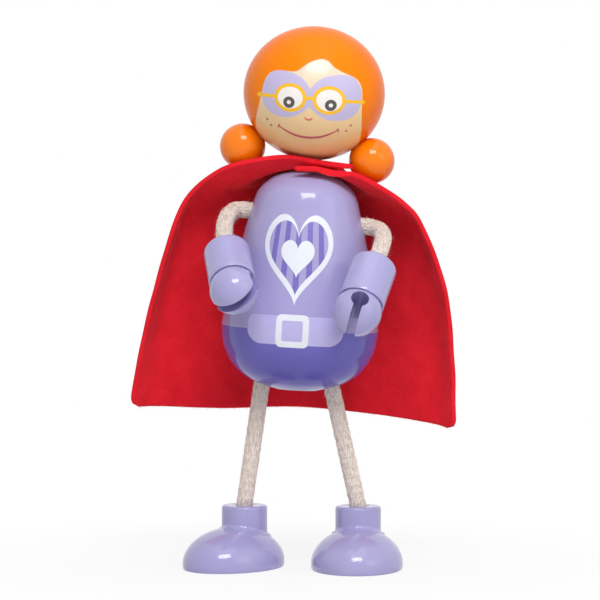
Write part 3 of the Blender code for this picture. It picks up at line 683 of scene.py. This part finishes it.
def make_head():
    """The painted head ball and its two hair buns."""
    a = np.linspace(math.pi / 2, -math.pi / 2, 121)
    line = np.stack([head_radius * np.cos(a), head_centre + head_half_height * np.sin(a)], -1)
    head = turned("head_shell", line, [hair_paint], head_frame, 192)
    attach(head, "head")
    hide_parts("head_ball")
    for side, sign in side_sign.items():
        way = Vector((sign * math.cos(bun_angle[side]), 0.0, -math.sin(bun_angle[side])))
        wall = 1 / math.sqrt((way.x / head_radius)**2 + (way.z / head_half_height)**2)
        far = wall + bun_radius - bun_sink
        place = head_frame @ axis_frame(Vector((0.0, 0.0, head_centre)) + far * way, way,
                                        Vector((0.0, 1.0, 0.0)))
        bun = turned(f"hair_bun_{side}", arc(bun_radius, math.pi / 2, -math.pi / 2, 61),
                     [bun_paint], place, 96)
        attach(bun, "head")
        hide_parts(f"bun_{side}")


def oval(middle, wide, high, count=64):
    """A closed oval about a place, with its two half sizes."""
    return middle + circle(count) * (wide, high)


def stroke(line, widths):
    """The two edges of a brush stroke along a line, as wide as its widths say."""
    mid = smooth_line(line, 8)
    wide = np.interp(np.linspace(0, 1, len(mid)), np.linspace(0, 1, len(widths)), widths)
    way = np.gradient(mid, axis=0)
    out = unit(np.stack([-way[:, 1], way[:, 0]], -1))
    return mid - out * wide[:, None] / 2, mid + out * wide[:, None] / 2


def make_face():
    """The printed face, in angles round and up from the middle of the head's front."""
    on_head = partial(printed, head_wall, "head")
    skin_edge = smooth_line([
        (-10.4, 17.2), (-6.6, 20.8), (-2.0, 24.6), (3.0, 27.2), (7.6, 28.5), (11.6, 28.0),
        (14.8, 26.2), (18.9, 21.8), (23.5, 19.2), (28.5, 17.2), (33.5, 15.6), (38.6, 13.6),
        (42.4, 10.0), (44.6, 5.0), (45.4, -1.0), (46.0, -6.0), (46.8, -10.5), (48.4, -16.0),
        (52.0, -23.0), (57.0, -30.0), (63.0, -36.5), (70.0, -42.0), (80.0, -48.5),
        (87.0, -56.0), (90.0, -64.0), (90.0, -73.0), (88.0, -81.0), (60.0, -83.5),
        (0.0, -84.0), (-60.0, -83.5), (-88.0, -81.0), (-90.0, -73.0), (-90.0, -62.0),
        (-88.0, -54.0), (-84.0, -47.5), (-78.0, -41.5), (-71.0, -36.5), (-63.5, -31.0),
        (-56.0, -24.7), (-50.0, -17.5), (-46.4, -11.5), (-43.8, -5.0), (-42.2, 2.0),
        (-40.2, 8.6), (-36.2, 13.6), (-29.0, 15.6), (-20.0, 15.3), (-15.0, 15.2),
        (-12.4, 15.8)], 6)
    skin_edge = even_line(np.concatenate([skin_edge, skin_edge[:1]]), 481)[:-1]
    face = on_head("face_skin", (0.0, -20.0), skin_edge, skin_lift, skin, 60)
    mask_half = smooth_line([
        (0.0, 0.8), (1.6, 3.4), (4.6, 7.4), (9.0, 11.0), (15.0, 13.6), (22.0, 15.2),
        (29.0, 15.6), (36.0, 14.2), (40.8, 9.4), (43.6, 3.0), (44.2, -3.0), (44.0, -8.5),
        (42.2, -14.4), (38.6, -18.6), (33.0, -22.0), (26.0, -23.8), (19.0, -24.0),
        (13.0, -22.6), (7.6, -20.0), (3.4, -16.8), (0.0, -13.8)], 6)
    mask_edge = np.concatenate([mask_half, mask_half[::-1] * (-1.0, 1.0)])
    mask_edge[:, 0] *= np.where(mask_edge[:, 0] < 0.0, 0.965, 1.01)
    on_head("mask_print", (0.0, -5.0), mask_edge, mask_lift, mask_ink, 24)
    pupils = {"right": np.array((-16.8, -10.9)), "left": np.array((17.6, -10.9))}
    freckles = {"right": freckle_ink, "left": mouth_ink}
    for name, sign in side_sign.items():
        mirror = np.array((sign, 1.0))
        middle, pupil = mirror * (16.1, -7.0), pupils[name]
        on_head(f"lens_print_{name}", middle, oval(middle, 11.2, 9.7, 96), lens_lift,
                eye_white_ink, 10)
        on_head(f"glasses_rim_{name}", oval(middle, 10.7, 9.2, 96), oval(middle, 13.7, 12.1, 96),
                rim_lift, yellow_ink, 4)
        temple = mirror * [(29.3, -6.4), (37.0, -6.2), (44.0, -5.7), (46.0, -5.7), (49.5, -5.8)]
        on_head(f"glasses_temple_{name}", *stroke(temple, (2.9, 2.8, 2.7, 4.6, 0.3)),
                temple_lift, yellow_ink, 4, ring=False)
        on_head(f"pupil_print_{name}", pupil, oval(pupil, 4.9, 4.8), pupil_lift, grey_ink, 6)
        on_head(f"pupil_dot_{name}", pupil, oval(pupil, 1.75, 1.7), dot_lift, eye_white_ink, 4)
        for n, spot in enumerate(((40.8, -26.9), (38.4, -32.4))):
            place = mirror * spot
            on_head(f"freckle_{name}_{n + 1}", place, oval(place, 1.35, 0.95, 24), line_lift,
                    freckles[name], 3)
        corner = mirror * [(28.1, -30.6), (29.3, -32.6), (31.0, -34.2)]
        on_head(f"mouth_corner_{name}", *stroke(corner, (0.9, 1.7, 0.9)), line_lift, mouth_ink,
                3, ring=False)
    bridge = [(-3.2, -6.7), (0.0, -6.2), (3.2, -6.7)]
    on_head("glasses_bridge", *stroke(bridge, (3.1, 2.7, 3.1)), bridge_lift, yellow_ink, 4,
            ring=False)
    nose = [(-3.4, -22.9), (-1.6, -24.6), (0.4, -25.0), (2.2, -24.5), (3.6, -22.9)]
    on_head("nose_print", *stroke(nose, (0.8, 1.5, 1.8, 1.5, 0.8)), line_lift, pink_ink, 3,
            ring=False)
    mouth = [(-29.4, -32.4), (-22.5, -37.0), (-12.5, -41.2), (0.0, -42.7), (12.5, -41.2),
             (22.5, -37.0), (29.4, -32.4)]
    on_head("mouth_print", *stroke(mouth, (1.1, 1.8, 2.3, 2.5, 2.3, 1.8, 1.1)), line_lift,
            mouth_ink, 3, ring=False)


# Rope


class Route:
    """A line that rope follows, with the way along it and two ways across at any mark."""

    def __init__(self, points, across):
        self.points = np.asarray([tuple(p) for p in points], float)
        self.marks = line_marks(self.points)
        self.length = self.marks[-1]
        self.ways = np.gradient(self.points, self.marks, axis=0)
        self.across = np.asarray(tuple(across), float)

    def at(self, s):
        inside = np.clip(s, 0.0, self.length)
        way = unit(along_line(inside, self.marks, self.ways))
        place = along_line(inside, self.marks, self.points) + (s - inside)[..., None] * way
        side = unit(self.across - (way @ self.across)[..., None] * way)
        return place, way, side, np.cross(way, side)


def braid(s, angle):
    """The braid at a mark and an angle: how far the surface stands out, how high the spot
    lies on its own strand, and where it lies across and along that strand.

    Two sets of strands wind opposite ways, each strand is round across, and they pass over
    and under each other by turns. Each strand has its own place on the UV map.
    """
    a = braid_strands * (angle / math.tau + s / braid_pitch)
    b = braid_strands * (angle / math.tau - s / braid_pitch)
    over = braid_lap * np.cos(math.pi * (a + b) / 2) * np.cos(math.pi * (a - b) / 2)
    crown_a, crown_b = (np.sqrt(np.clip(1 - (2 * (c % 1.0) - 1)**2, 0, 1)) for c in (a, b))
    top_a, top_b = crown_a + over, crown_b - over
    first = top_a >= top_b
    across = np.where(first, a % 1.0 + 3.7 * np.floor(a), b % 1.0 + 5.3 * np.floor(b) + 0.5)
    crown = np.where(first, crown_a, crown_b)
    return np.maximum(top_a, top_b), crown, across, np.broadcast_to(s * 1000.0, across.shape)


def make_rope(name, route, low, high, nodes, layout, seed,
              relief=0.00014, fluff=62000):
    """A length of braided rope between two marks of a route.

    Each ring lies across the route and its radius follows the braid, which stands out by
    relief, with a faint wander. Fluff is how many loose fibres a metre of rope has.
    """
    rows, columns = max(12, int((high - low) / ring_step)), 110
    s = np.linspace(low, high, rows)
    angle = math.tau * np.arange(columns) / columns
    height, crown, across, along = braid(s[:, None], angle[None, :])
    wander = 0.00005 * np.sin(s * 2600.0)[:, None] * np.cos(2 * angle + s[:, None] * 700.0)
    radius = rope_radius - 1.2 * relief + relief * height + wander
    s, crown, across, along, radius = (np.concatenate([f[:1], f, f[-1:]])
                                       for f in (s, crown, across, along, radius))
    radius[0], radius[-1] = 0.0, 0.0
    place, _, side, up = route.at(s)
    out = np.cos(angle)[:, None] * side[:, None] + np.sin(angle)[:, None] * up[:, None]
    rope = mesh_piece(name, place[:, None] + radius[..., None] * out,
                      grid_faces(rows + 2, columns, ring=True), [cream_rope], layout,
                      uv=np.stack([across, along], -1).reshape(-1, 2),
                      furrow=furrow_share * crown)
    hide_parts(*nodes)
    fuzz = make_rope_fibres(name + "_fuzz", route, max(low, -0.0016), high, layout, seed, fluff)
    for one in (rope, fuzz):
        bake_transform(one)


def fibre_piece(name, root, way, beside, bend, length, width, finish, layout):
    """Loose fibres: each is a three-sided taper of three steps, that leaves its root along a
    way and is bent aside with the square of the distance."""
    steps = np.array((0.0, 0.4, 0.75, 1.0))
    spine = (root[:, None] + way[:, None] * (length[:, None] * steps)[..., None]
             + bend[:, None] * (length[:, None] * steps**2)[..., None])
    across = unit(np.cross(way, beside))
    third = np.cross(way, across)
    cos_turn, sin_turn = circle(3).T[..., None]
    ring = cos_turn * across[:, None, None] + sin_turn * third[:, None, None]
    fat = width * (1 - 0.8 * steps)
    quads = grid_faces(4, 3, ring=True) + 12 * np.arange(len(root))[:, None, None]
    return mesh_piece(name, spine[:, :, None] + fat[:, None, None] * ring,
                      quads.reshape(-1, 4), [finish], layout, merge=False)


def make_rope_fibres(name, route, low, high, layout, seed, fluff):
    """Loose cotton fibres: each leaves the rope at a mark and an angle, leans along it, and
    curls back a little."""
    rng = np.random.default_rng(seed)
    count = int((high - low) * fluff)
    s = rng.uniform(low, high, count)
    angle = rng.uniform(0.0, math.tau, count)
    length = rng.gamma(3.0, 0.00023, count)
    lean = rng.normal(0.0, 1.0, (count, 2))
    place, way, side, up = route.at(s)
    out = np.cos(angle)[:, None] * side + np.sin(angle)[:, None] * up
    leaving = unit(out * 0.55 + way * lean[:, :1] + np.cross(way, out) * lean[:, 1:] * 0.7)
    root = place + out * (rope_radius - 0.00012)
    return fibre_piece(name, root, leaving, out + 0.01 * way, -0.35 * out, length, 0.000015,
                       rope_fibre, layout)


def wall_radius(height):
    """The torso's radius at a height on its flank."""
    line = torso_line(12)[1:-1]
    flank = line[line[:, 1] > foot_top_share * torso_height][::-1]
    return float(np.interp(height, flank[:, 1], flank[:, 0]))


def foot_height(radius):
    """The height of the torso's rounded foot at a radius."""
    line = torso_line(12)
    foot = line[line[:, 1] < foot_top_share * torso_height][::-1]
    return float(np.interp(radius, foot[:, 0], foot[:, 1]))


def arm_way(side):
    """The way out of the torso along its cross hole."""
    sign = side_sign[side]
    return Vector((sign * math.cos(arm_hole_tilt), 0.0, -sign * math.sin(arm_hole_tilt)))


def shoulder_place(side):
    """The arm's first pivot, in the torso's frame."""
    height = arm_hole_height - side_sign[side] * torso_radius * math.sin(arm_hole_tilt) / 2
    reach = wall_radius(height) / math.cos(arm_hole_tilt) + bend_clearance
    return Vector((0.0, 0.0, arm_hole_height)) + reach * arm_way(side)


def arm_route(side):
    """A cubic curve out of the torso and into the cuff, with a straight run at each end."""
    out, forearm = arm_way(side), forearm_way[side].normalized()
    start = shoulder_place(side)
    end = start + cuff_offset[side] - bend_clearance * forearm
    slack = arm_slack * (end - start).length
    knots = [start, start + slack * out, end - slack * forearm, end]
    t = np.linspace(0.0, 1.0, 121)[:, None]
    weights = ((1 - t)**3, 3 * t * (1 - t)**2, 3 * t**2 * (1 - t), t**3)
    points = sum(w * np.array(tuple(k)) for w, k in zip(weights, knots))
    return Route(points, out.cross(forearm).normalized())


def make_arm(side, seed):
    """One arm's rope in three lengths."""
    route = arm_route(side)
    half, end = route.length / 2, route.length
    spots = [("torso", "upper_arm", -arm_hole_run, half / 2, 0.0, "arm_rope_upper"),
             ("upper_arm", "lower_arm", half / 2, (half + end) / 2, half, "arm_rope_lower"),
             ("lower_arm", "forearm", (half + end) / 2, end + cuff_run, end, "arm_rope_end")]
    for n, (a, b, low, high, mark, node) in enumerate(spots):
        nodes = [f"{side}_{node}"] + (["arm_rope_middle"] if (side, n) == ("right", 0) else [])
        place, way, _, _ = route.at(np.array([mark]))
        make_rope(f"{side}_arm_braid_{n + 1}", route, low, high,
                  nodes, torso_frame, seed + n, relief=0.00022, fluff=200000)


def make_leg(side, spread, seed):
    """One leg's rope in four lengths."""
    sign = side_sign[side]
    way = Vector((sign * math.sin(spread), 0.0, -math.cos(spread)))
    hip = Vector((sign * hip_offset, 0.0, foot_height(hip_offset)))
    start = torso_frame @ hip + bend_clearance * way
    drop = start.z - boot_height - bend_clearance
    route = Route([start, start + way * (drop / math.cos(spread))], (0.0, 1.0, 0.0))
    knee, end = (hip_link + route.length) / 2, route.length
    spots = [("torso", "hip", -leg_hole_run, hip_link / 2, 0.0, 0.0016,
              ["leg_rope_root", "leg_rope_upper"]),
             ("hip", "thigh", hip_link / 2, (hip_link + knee) / 2, hip_link, 0.0022,
              ["leg_rope_middle"]),
             ("thigh", "shin", (hip_link + knee) / 2, (knee + end) / 2, knee, 0.0035,
              ["leg_rope_lower"]),
             ("shin", "foot", (knee + end) / 2, end + boot_run, end, 0.0024, ["leg_rope_end"])]
    for n, (a, b, low, high, mark, reach, nodes) in enumerate(spots):
        make_rope(f"{side}_leg_braid_{n + 1}", route, low, high,
                  [f"{side}_{m}" for m in nodes], world_frame,
                  seed + n)
    return route


# Plastic


def finish_edges(made, width):
    """Round off the sharp edges of a piece by a small bevel."""
    bevel = made.modifiers.new("edges", "BEVEL")
    bevel.width = width
    bevel.segments = 2
    bevel.limit_method = "ANGLE"
    bevel.angle_limit = math.radians(40.0)
    bevel.harden_normals = True


def cuff_layout(side):
    """The forearm's frame, at the middle of the cuff's top rim, Z up the arm."""
    rim = shoulder_place(side) + cuff_offset[side]
    return torso_frame @ axis_frame(rim, -forearm_way[side], grip_way[side])


def make_cuff(side):
    """The sleeve: a softened top round the rope's hole, and a round cup at its lower end."""
    cup = hand_radius + 0.00006
    ball = -cuff_length - hand_reach
    edge, lip, mouth, floor = 0.0011, 0.00025, 0.0019, -0.0043
    foot_edge, ease = 0.0001, 0.0002
    rim = math.sqrt(cup**2 - hand_reach**2)
    low = math.asin(hand_reach / cup)
    line = np.concatenate([
        [(0.0, floor), (mouth, floor)],
        arc(lip, math.pi, math.pi / 2, 5, mouth + lip, -lip),
        arc(edge, math.pi / 2, 0.0, 10, cuff_radius - edge, -edge),
        np.linspace((cuff_radius, -edge - ease), (cuff_radius, -cuff_length + ease), 12),
        [(cuff_radius - foot_edge, -cuff_length), ((cuff_radius + rim) / 2, -cuff_length),
         (rim, -cuff_length)],
        arc(cup, low + 0.02, math.radians(86.0), 16, 0.0, ball),
        [(0.0, ball + cup)]])
    cuff = turned(f"{side}_cuff_shell", line, [lilac_plastic], cuff_layout(side), 128)
    finish_edges(cuff, 0.00022)
    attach(cuff, f"{side}_forearm")
    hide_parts(f"{side}_cuff")


def cut_keyhole(hand, ball, layout):
    """Cut the grip out of a hand: a round hole with a slot to the ball's far end, drawn as one
    outline and pushed right through along X."""
    through, half = hand_radius + 0.002, grip_slot / 2
    gap = math.asin(half / grip_radius)
    t = np.linspace(gap, math.tau - gap, 65) - math.pi / 2
    hole = np.stack([grip_radius * np.cos(t), grip_radius * np.sin(t)], -1)
    keyhole = np.concatenate([[(-half, -through)], hole[::-1], [(half, -through)]])
    n = len(keyhole)
    rings = [np.column_stack([np.full(n, x), keyhole[:, 0], ball + keyhole[:, 1]])
             for x in (-through, through)]
    faces = [(j, (j + 1) % n, n + (j + 1) % n, n + j) for j in range(n)]
    faces += [tuple(range(n)), tuple(reversed(range(n, 2 * n)))]
    mesh = bpy.data.meshes.new("keyhole")
    mesh.from_pydata(placed(np.concatenate(rings), layout).tolist(), [], faces)
    face_outwards(mesh, merge=False)
    tool = in_scene("keyhole", mesh)
    cut = hand.modifiers.new("grip", "BOOLEAN")
    cut.operation, cut.solver, cut.object = "DIFFERENCE", "EXACT", tool
    graph = bpy.context.evaluated_depsgraph_get()
    hand.data = bpy.data.meshes.new_from_object(hand.evaluated_get(graph))
    hand.modifiers.clear()
    bpy.data.objects.remove(tool, do_unlink=True)


def make_hand(side):
    """The ball hand: a turned ball and stub, less a round grip and a slot to its far end,
    whose walls are painted darker than the ball: a painted shade inside the grip."""
    ball = -cuff_length - hand_reach
    stub, stub_radius = ball + hand_radius + 0.0030, 0.0015
    root = math.acos(stub_radius / hand_radius)
    line = np.concatenate([[(0.0, stub), (stub_radius, stub)],
                           arc(hand_radius, root, -math.pi / 2, 72, 0.0, ball)])
    layout = cuff_layout(side)
    hand = turned(f"{side}_hand_shell", line, [lilac_plastic], layout, 128)
    cut_keyhole(hand, ball, layout)
    # Painted shade: the faces inside the grip get the darker plastic.
    hand.data.materials.append(grip_shade_plastic)
    middles = np.zeros(3 * len(hand.data.polygons))
    hand.data.polygons.foreach_get("center", middles)
    from_ball = middles.reshape(-1, 3) - np.array(layout @ Vector((0.0, 0.0, ball)))
    along = from_ball @ np.array(layout.to_3x3() @ Vector((0.0, 0.0, 1.0)))
    inside = np.linalg.norm(from_ball, axis=1) < hand_radius - 0.0001
    inside &= along < hand_radius - 0.0012
    hand.data.polygons.foreach_set("material_index", inside.astype(np.int32))
    hand.data.set_sharp_from_angle(angle=sharp_angle)
    finish_edges(hand, 0.00020)
    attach(hand, f"{side}_hand")
    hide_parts(f"{side}_hand")


def make_boot(side, route):
    """The boot: rings slide from the sole's oval to the shank's circle, each point of the
    dome as high as the ellipsoid over it, then up a round shank to a rim with a rope hole."""
    columns, rows = 160, 44
    half, middle = np.array((0.0100, 0.0130)), np.array((0.0, -0.0040))
    shank, fillet, edge_height, dome_height = 0.0050, 0.0009, 0.0012, 0.0088
    inset, round_top, mouth = 0.0003, 0.0006, rope_radius + 0.00012
    ring = circle(columns)

    def dome(plan):
        share = np.clip((((plan - middle) / half)**2).sum(-1), 0.0, 1.0)
        return edge_height + (dome_height - edge_height) * np.sqrt(1 - share)

    def level(plan, height):
        return np.column_stack([plan, np.broadcast_to(height, columns)])

    rings = [level(middle + 0.02 * ring * half, 0.0), level(middle + (half - inset) * ring, 0.0)]
    for a in np.linspace(0.15, 1.0, 6) * math.pi / 2:
        plan = middle + (half - inset * (1 - math.sin(a))) * ring
        rings.append(level(plan, edge_height * (1 - math.cos(a))))
    foot = (shank + fillet) * ring
    for share in (np.sin(np.linspace(0.0, math.pi / 2, rows))**1.4)[1:]:
        plan = (1 - share) * (middle + half * ring) + share * foot
        rings.append(level(plan, dome(plan)))
    base = dome(shank * ring)
    for a in np.linspace(0.1, 1.0, 8) * math.pi / 2:
        rings.append(level((shank + fillet * (1 - math.sin(a))) * ring,
                           base + fillet * (1 - math.cos(a))))
    for a in np.linspace(0.0, 1.0, 8) * math.pi / 2:
        rings.append(level((shank - round_top * (1 - math.cos(a))) * ring,
                           boot_height - round_top * (1 - math.sin(a))))
    way = route.ways[-1]
    turn = side_sign[side] * toe_out[side]
    slant = np.array((way[0] * math.cos(turn) + way[1] * math.sin(turn),
                      way[1] * math.cos(turn) - way[0] * math.sin(turn))) / -way[2]
    for depth, radius in ((0.0, mouth + 0.0003), (0.00008, mouth + 0.0001), (0.0003, mouth),
                          (0.0030, mouth), (0.0030, 0.0)):
        rings.append(level(radius * ring + depth * slant, boot_height - depth))
    points = np.array(rings)
    points[0, :, :2] = middle
    top = route.at(np.array([route.length + bend_clearance]))[0][0]
    layout = Matrix.Translation((top[0], top[1], 0.0)) @ Matrix.Rotation(turn, 4, "Z")
    boot = mesh_piece(f"{side}_boot_shell", points, grid_faces(len(points), columns, ring=True),
                      [lilac_plastic], layout)
    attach(boot, f"{side}_foot")
    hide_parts(f"{side}_boot")


# Cape


def cape_surface(rows, columns):
    """The cape's middle surface: ribs from neck to hem as smooth curves, crossed by smooth
    rows, with three soft waves that grow towards the hem. Every rib has its rows spread
    evenly from the neck to its seventh point, and from there to the hem."""
    spans, bend = 24, 6
    want = np.concatenate([np.linspace(0.0, 1.0, rows // 2 + 1)[:-1],
                           np.linspace(1.0, 2.0, rows - rows // 2)])
    ribs = []
    for shares in cape_rib_shares:
        line = smooth_line(shares, spans) * cape_sizes + cape_neck
        marks = line_marks(line)
        middle = marks[bend * spans]
        way = np.where(marks < middle, marks / middle, 1 + (marks - middle) / (marks[-1] - middle))
        ribs.append(along_line(want, way, line))
    grid = np.array([even_line(smooth_line(row, spans), columns)
                     for row in np.array(ribs).transpose(1, 0, 2)])
    down = np.clip(want - 1.0, 0.0, 1.0)[:, None]
    grid[..., 1] += cape_wave * down**2 * np.sin(np.linspace(0.0, 3 * math.tau, columns))
    return grid


def corner_rounding(grid, radius):
    """Pull the two hem corners in, so that the cloth's lower corners are round: near a corner
    each row ends where the corner's circle does."""
    columns = grid.shape[1]
    out = grid.copy()
    up = line_marks(grid[::-1, 0])[::-1]
    near = np.clip(1 - up / radius, 0.0, 1.0)
    pull = radius * (1 - np.sqrt(np.clip(1 - near**2, 0.0, 1.0)))
    for i in np.flatnonzero(near > 0):
        marks = line_marks(grid[i])
        out[i] = along_line(np.linspace(pull[i], marks[-1] - pull[i], columns), marks, grid[i])
    return out


def edge_marks(count):
    """How far each line of a grid with finer edges lies from the grid's first line, in steps
    of the coarse grid."""
    return np.concatenate([[0.0, 0.10, 0.30, 0.6], np.arange(1, count - 7),
                           count - 8 + np.array([0.4, 0.7, 0.90, 1.0])])


def finer_edges(grid):
    """The same grid with three more lines close inside each of its edges."""
    for axis in (0, 1):
        count = grid.shape[axis]
        want = edge_marks(count + 6)
        low = np.minimum(want.astype(int), count - 2)
        share = want - low
        share = share[:, None, None] if axis == 0 else share[None, :, None]
        grid = np.take(grid, low, axis) * (1 - share) + np.take(grid, low + 1, axis) * share
    return grid


def bun_when_turned(side, degrees):
    """Where a bun's middle comes when the head turns, in the torso's frame."""
    low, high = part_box(f"bun_{side}")
    middle = head_frame.inverted() @ ((Vector(low) + Vector(high)) / 2)
    place = head_frame @ (Matrix.Rotation(math.radians(degrees), 4, "Z") @ middle)
    return np.array(torso_frame.inverted() @ place)


def hollow_for_ball(grid, middle, radius, soft):
    """Move the points that a ball would cover straight out from its middle to its radius, with
    a soft shoulder round the hollow."""
    out_way = grid - middle
    distance = np.linalg.norm(out_way, axis=-1, keepdims=True)
    short = np.clip(radius + soft - distance, 0.0, None)
    moved = np.where(distance < radius - soft, radius, distance + short**2 / (4 * soft))
    return grid + out_way / distance * (moved - distance)


def round_edge(top, right, hem, left):
    """One line round a grid: the first row, last column, last row and first column of four
    grids of one size."""
    return np.concatenate([top[0], right[1:, -1], hem[-1, ::-1][1:], left[::-1, 0][1:-1]])


def make_cape():
    """The cape as one sheet of felt: its middle surface, uneven by two crossed ripples and
    hollowed where a bun comes to rest, given its thickness both ways along its normal, with a
    soft round edge and loose fibres."""
    grid = finer_edges(corner_rounding(cape_surface(131, 231), cape_corner))
    rows, columns = grid.shape[:2]
    along, down = np.gradient(grid, axis=1), np.gradient(grid, axis=0)
    normal = unit(np.cross(along, down))
    u = np.linspace(0.0, 1.0, rows)[:, None]
    v = np.linspace(0.0, 1.0, columns)[None, :]
    ripple = 0.00006 * (np.sin(37 * u + 11 * v) * np.sin(29 * v - 5 * u)
                        + np.sin(61 * u - 17 * v + 1.0) * np.sin(53 * v + 2.0))
    grid = hollow_for_ball(grid + ripple[..., None] * normal, bun_when_turned("left", -60.0),
                           bun_radius + felt_thickness / 2 + bun_clearance, soft=0.0006)
    inward = [np.minimum(edge_marks(n), edge_marks(n)[::-1]) for n in (rows, columns)]
    share = np.clip(np.minimum(inward[0][:, None], inward[1][None, :]), 0.0, 1.0)
    half = (felt_thickness / 2 * (share * (2 - share))**0.35)[..., None]
    one = grid_faces(rows, columns)
    cape = mesh_piece("felt_cape", np.stack([grid + half * normal, grid - half * normal]),
                      np.concatenate([one, one[:, ::-1] + rows * columns]), [red_felt],
                      torso_frame)
    fuzz = make_felt_fibres(grid, normal, round_edge(grid, grid, grid, grid),
                            round_edge(-down, along, down, -along),
                            round_edge(normal, normal, normal, normal))
    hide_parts("cape_yoke", "cape_panel")
    for made in (cape, fuzz):
        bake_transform(made)


def make_felt_fibres(grid, normal, rim, out_way, face_way):
    """Loose felt fibres: half of them stand out along the cut edge, and the rest lie off both
    faces."""
    rng = np.random.default_rng(7)
    edge_count, face_count = 5200, 5200
    pick = rng.integers(0, len(rim), edge_count)
    root = rim[pick] + rng.uniform(-0.0003, 0.0003, (edge_count, 1)) * face_way[pick]
    way = unit(out_way[pick]) + rng.normal(0.0, 0.75, (edge_count, 3))
    rows, columns = grid.shape[:2]
    i, j = rng.integers(1, rows - 1, face_count), rng.integers(1, columns - 1, face_count)
    off = rng.choice((-1.0, 1.0), face_count)[:, None] * normal[i, j]
    face_root = grid[i, j] + off * (felt_thickness / 2 - 0.00002)
    face_dir = off * 0.35 + rng.normal(0.0, 1.0, (face_count, 3)) * 0.6
    root = np.concatenate([root, face_root])
    way = unit(np.concatenate([way, face_dir]))
    length = rng.gamma(3.0, 0.00010, len(root))
    bend = 0.4 * rng.normal(0.0, 0.5, (len(root), 3))
    return fibre_piece("felt_cape_fuzz", root, way, np.array((0.3, 0.5, 0.8)), bend, length,
                       0.000012, red_felt, torso_frame)


# What stays as the solids have it


def finish_inner_pieces():
    """Bare dowels and wires keep their solids and get their own finish."""
    for name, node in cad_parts.items():
        if "wire" in name or "pin" in name or name == "neck_peg":
            node.data.materials.clear()
            node.data.materials.append(steel_wire if "wire" in name else dowel_wood)


# Studio

view_middle = Vector((0.00203, 0.0038, 0.05827))
white = (1.0, 1.0, 1.0, 1.0)


def looked_at(tree):
    """One where a camera, mirror or glass ray arrives, and nought for the light on things."""
    path = tree.nodes.new("ShaderNodeLightPath").outputs
    first = maths(tree, "MAXIMUM", path["Is Camera Ray"], path["Is Glossy Ray"])
    return maths(tree, "MAXIMUM", first, path["Is Transmission Ray"])


def aimed(name, data, azimuth, elevation, distance):
    """A lamp or camera that looks at the doll's middle from a side, given in degrees."""
    a, e = math.radians(azimuth), math.radians(elevation)
    back = Vector((math.sin(a) * math.cos(e), -math.cos(a) * math.cos(e), math.sin(e)))
    made = in_scene(name, data)
    made.location = view_middle + distance * back
    made.rotation_mode = "QUATERNION"
    made.rotation_quaternion = (-back).to_track_quat("-Z", "Y")
    return made


def make_floor():
    """A pale floor that looks white but for the doll's shadow, which fades with distance."""
    size = 1.5
    mesh = bpy.data.meshes.new("floor")
    mesh.from_pydata([(-size, -size, 0.0), (size, -size, 0.0), (size, size, 0.0),
                      (-size, size, 0.0)], [], [(0, 1, 2, 3)])
    floor = in_scene("floor", mesh)
    made, tree, shader = shader_of("floor_paper")
    feed(tree, shader, {"Base Color": (0.88, 0.88, 0.88, 1.0), "Roughness": 0.9,
                        "Specular IOR Level": 0.0})
    glow = add(tree, "Emission", {"Color": white, "Strength": 1.0})
    reach = add(tree, "VectorMath", {0: add(tree, "TexCoord", {}, "Object")}, "Value",
                operation="LENGTH")
    fade = ranged(tree, reach, 0.02, 0.10, 0.80, 1.0)
    share = maths(tree, "MULTIPLY", looked_at(tree), fade)
    mix = add(tree, "MixShader", {0: share, 1: shader.outputs["BSDF"], 2: glow})
    feed(tree, tree.nodes["Material Output"], {"Surface": mix})
    mesh.materials.append(made)


def make_studio():
    """The floor, a white surround, a soft key light up in front, a soft top light, a weak fill
    from the right, and the camera."""
    scene = bpy.context.scene
    scene.view_settings.view_transform = "Standard"
    make_floor()
    world = bpy.data.worlds.new("surround")
    scene.world = world
    world.use_nodes = True
    tree = world.node_tree
    feed(tree, tree.nodes["Background"], {
        "Color": white, "Strength": ranged(tree, looked_at(tree), low=0.37, high=1.0)})
    for name, azimuth, elevation, distance, wide, high, power in (
            ("key_softbox", 12.0, 47.0, 0.60, 0.29, 0.18, 2.35),
            ("top_softbox", 25.0, 78.0, 0.70, 0.50, 0.50, 0.75),
            ("right_fill", 58.0, 22.0, 0.80, 0.40, 0.40, 0.6)):
        data = bpy.data.lights.new(name, "AREA")
        data.shape, data.size, data.size_y, data.energy = "RECTANGLE", wide, high, power
        aimed(name, data, azimuth, elevation, distance)
    data = bpy.data.cameras.new("camera")
    data.lens, data.sensor_width = 170.3, 36.0
    data.clip_start, data.clip_end = 0.01, 10.0
    scene.camera = aimed("camera", data, 4.8, 2.0, 0.62)


make_studio()
make_torso()
make_torso_print()
make_head()
make_face()
for side_name, arm_seed, leg_seed, leg_spread in (("right", 11, 31, 8.2), ("left", 21, 41, 12.6)):
    make_arm(side_name, arm_seed)
    make_cuff(side_name)
    make_hand(side_name)
    leg = make_leg(side_name, math.radians(leg_spread), leg_seed)
    make_boot(side_name, leg)
make_cape()
finish_inner_pieces()
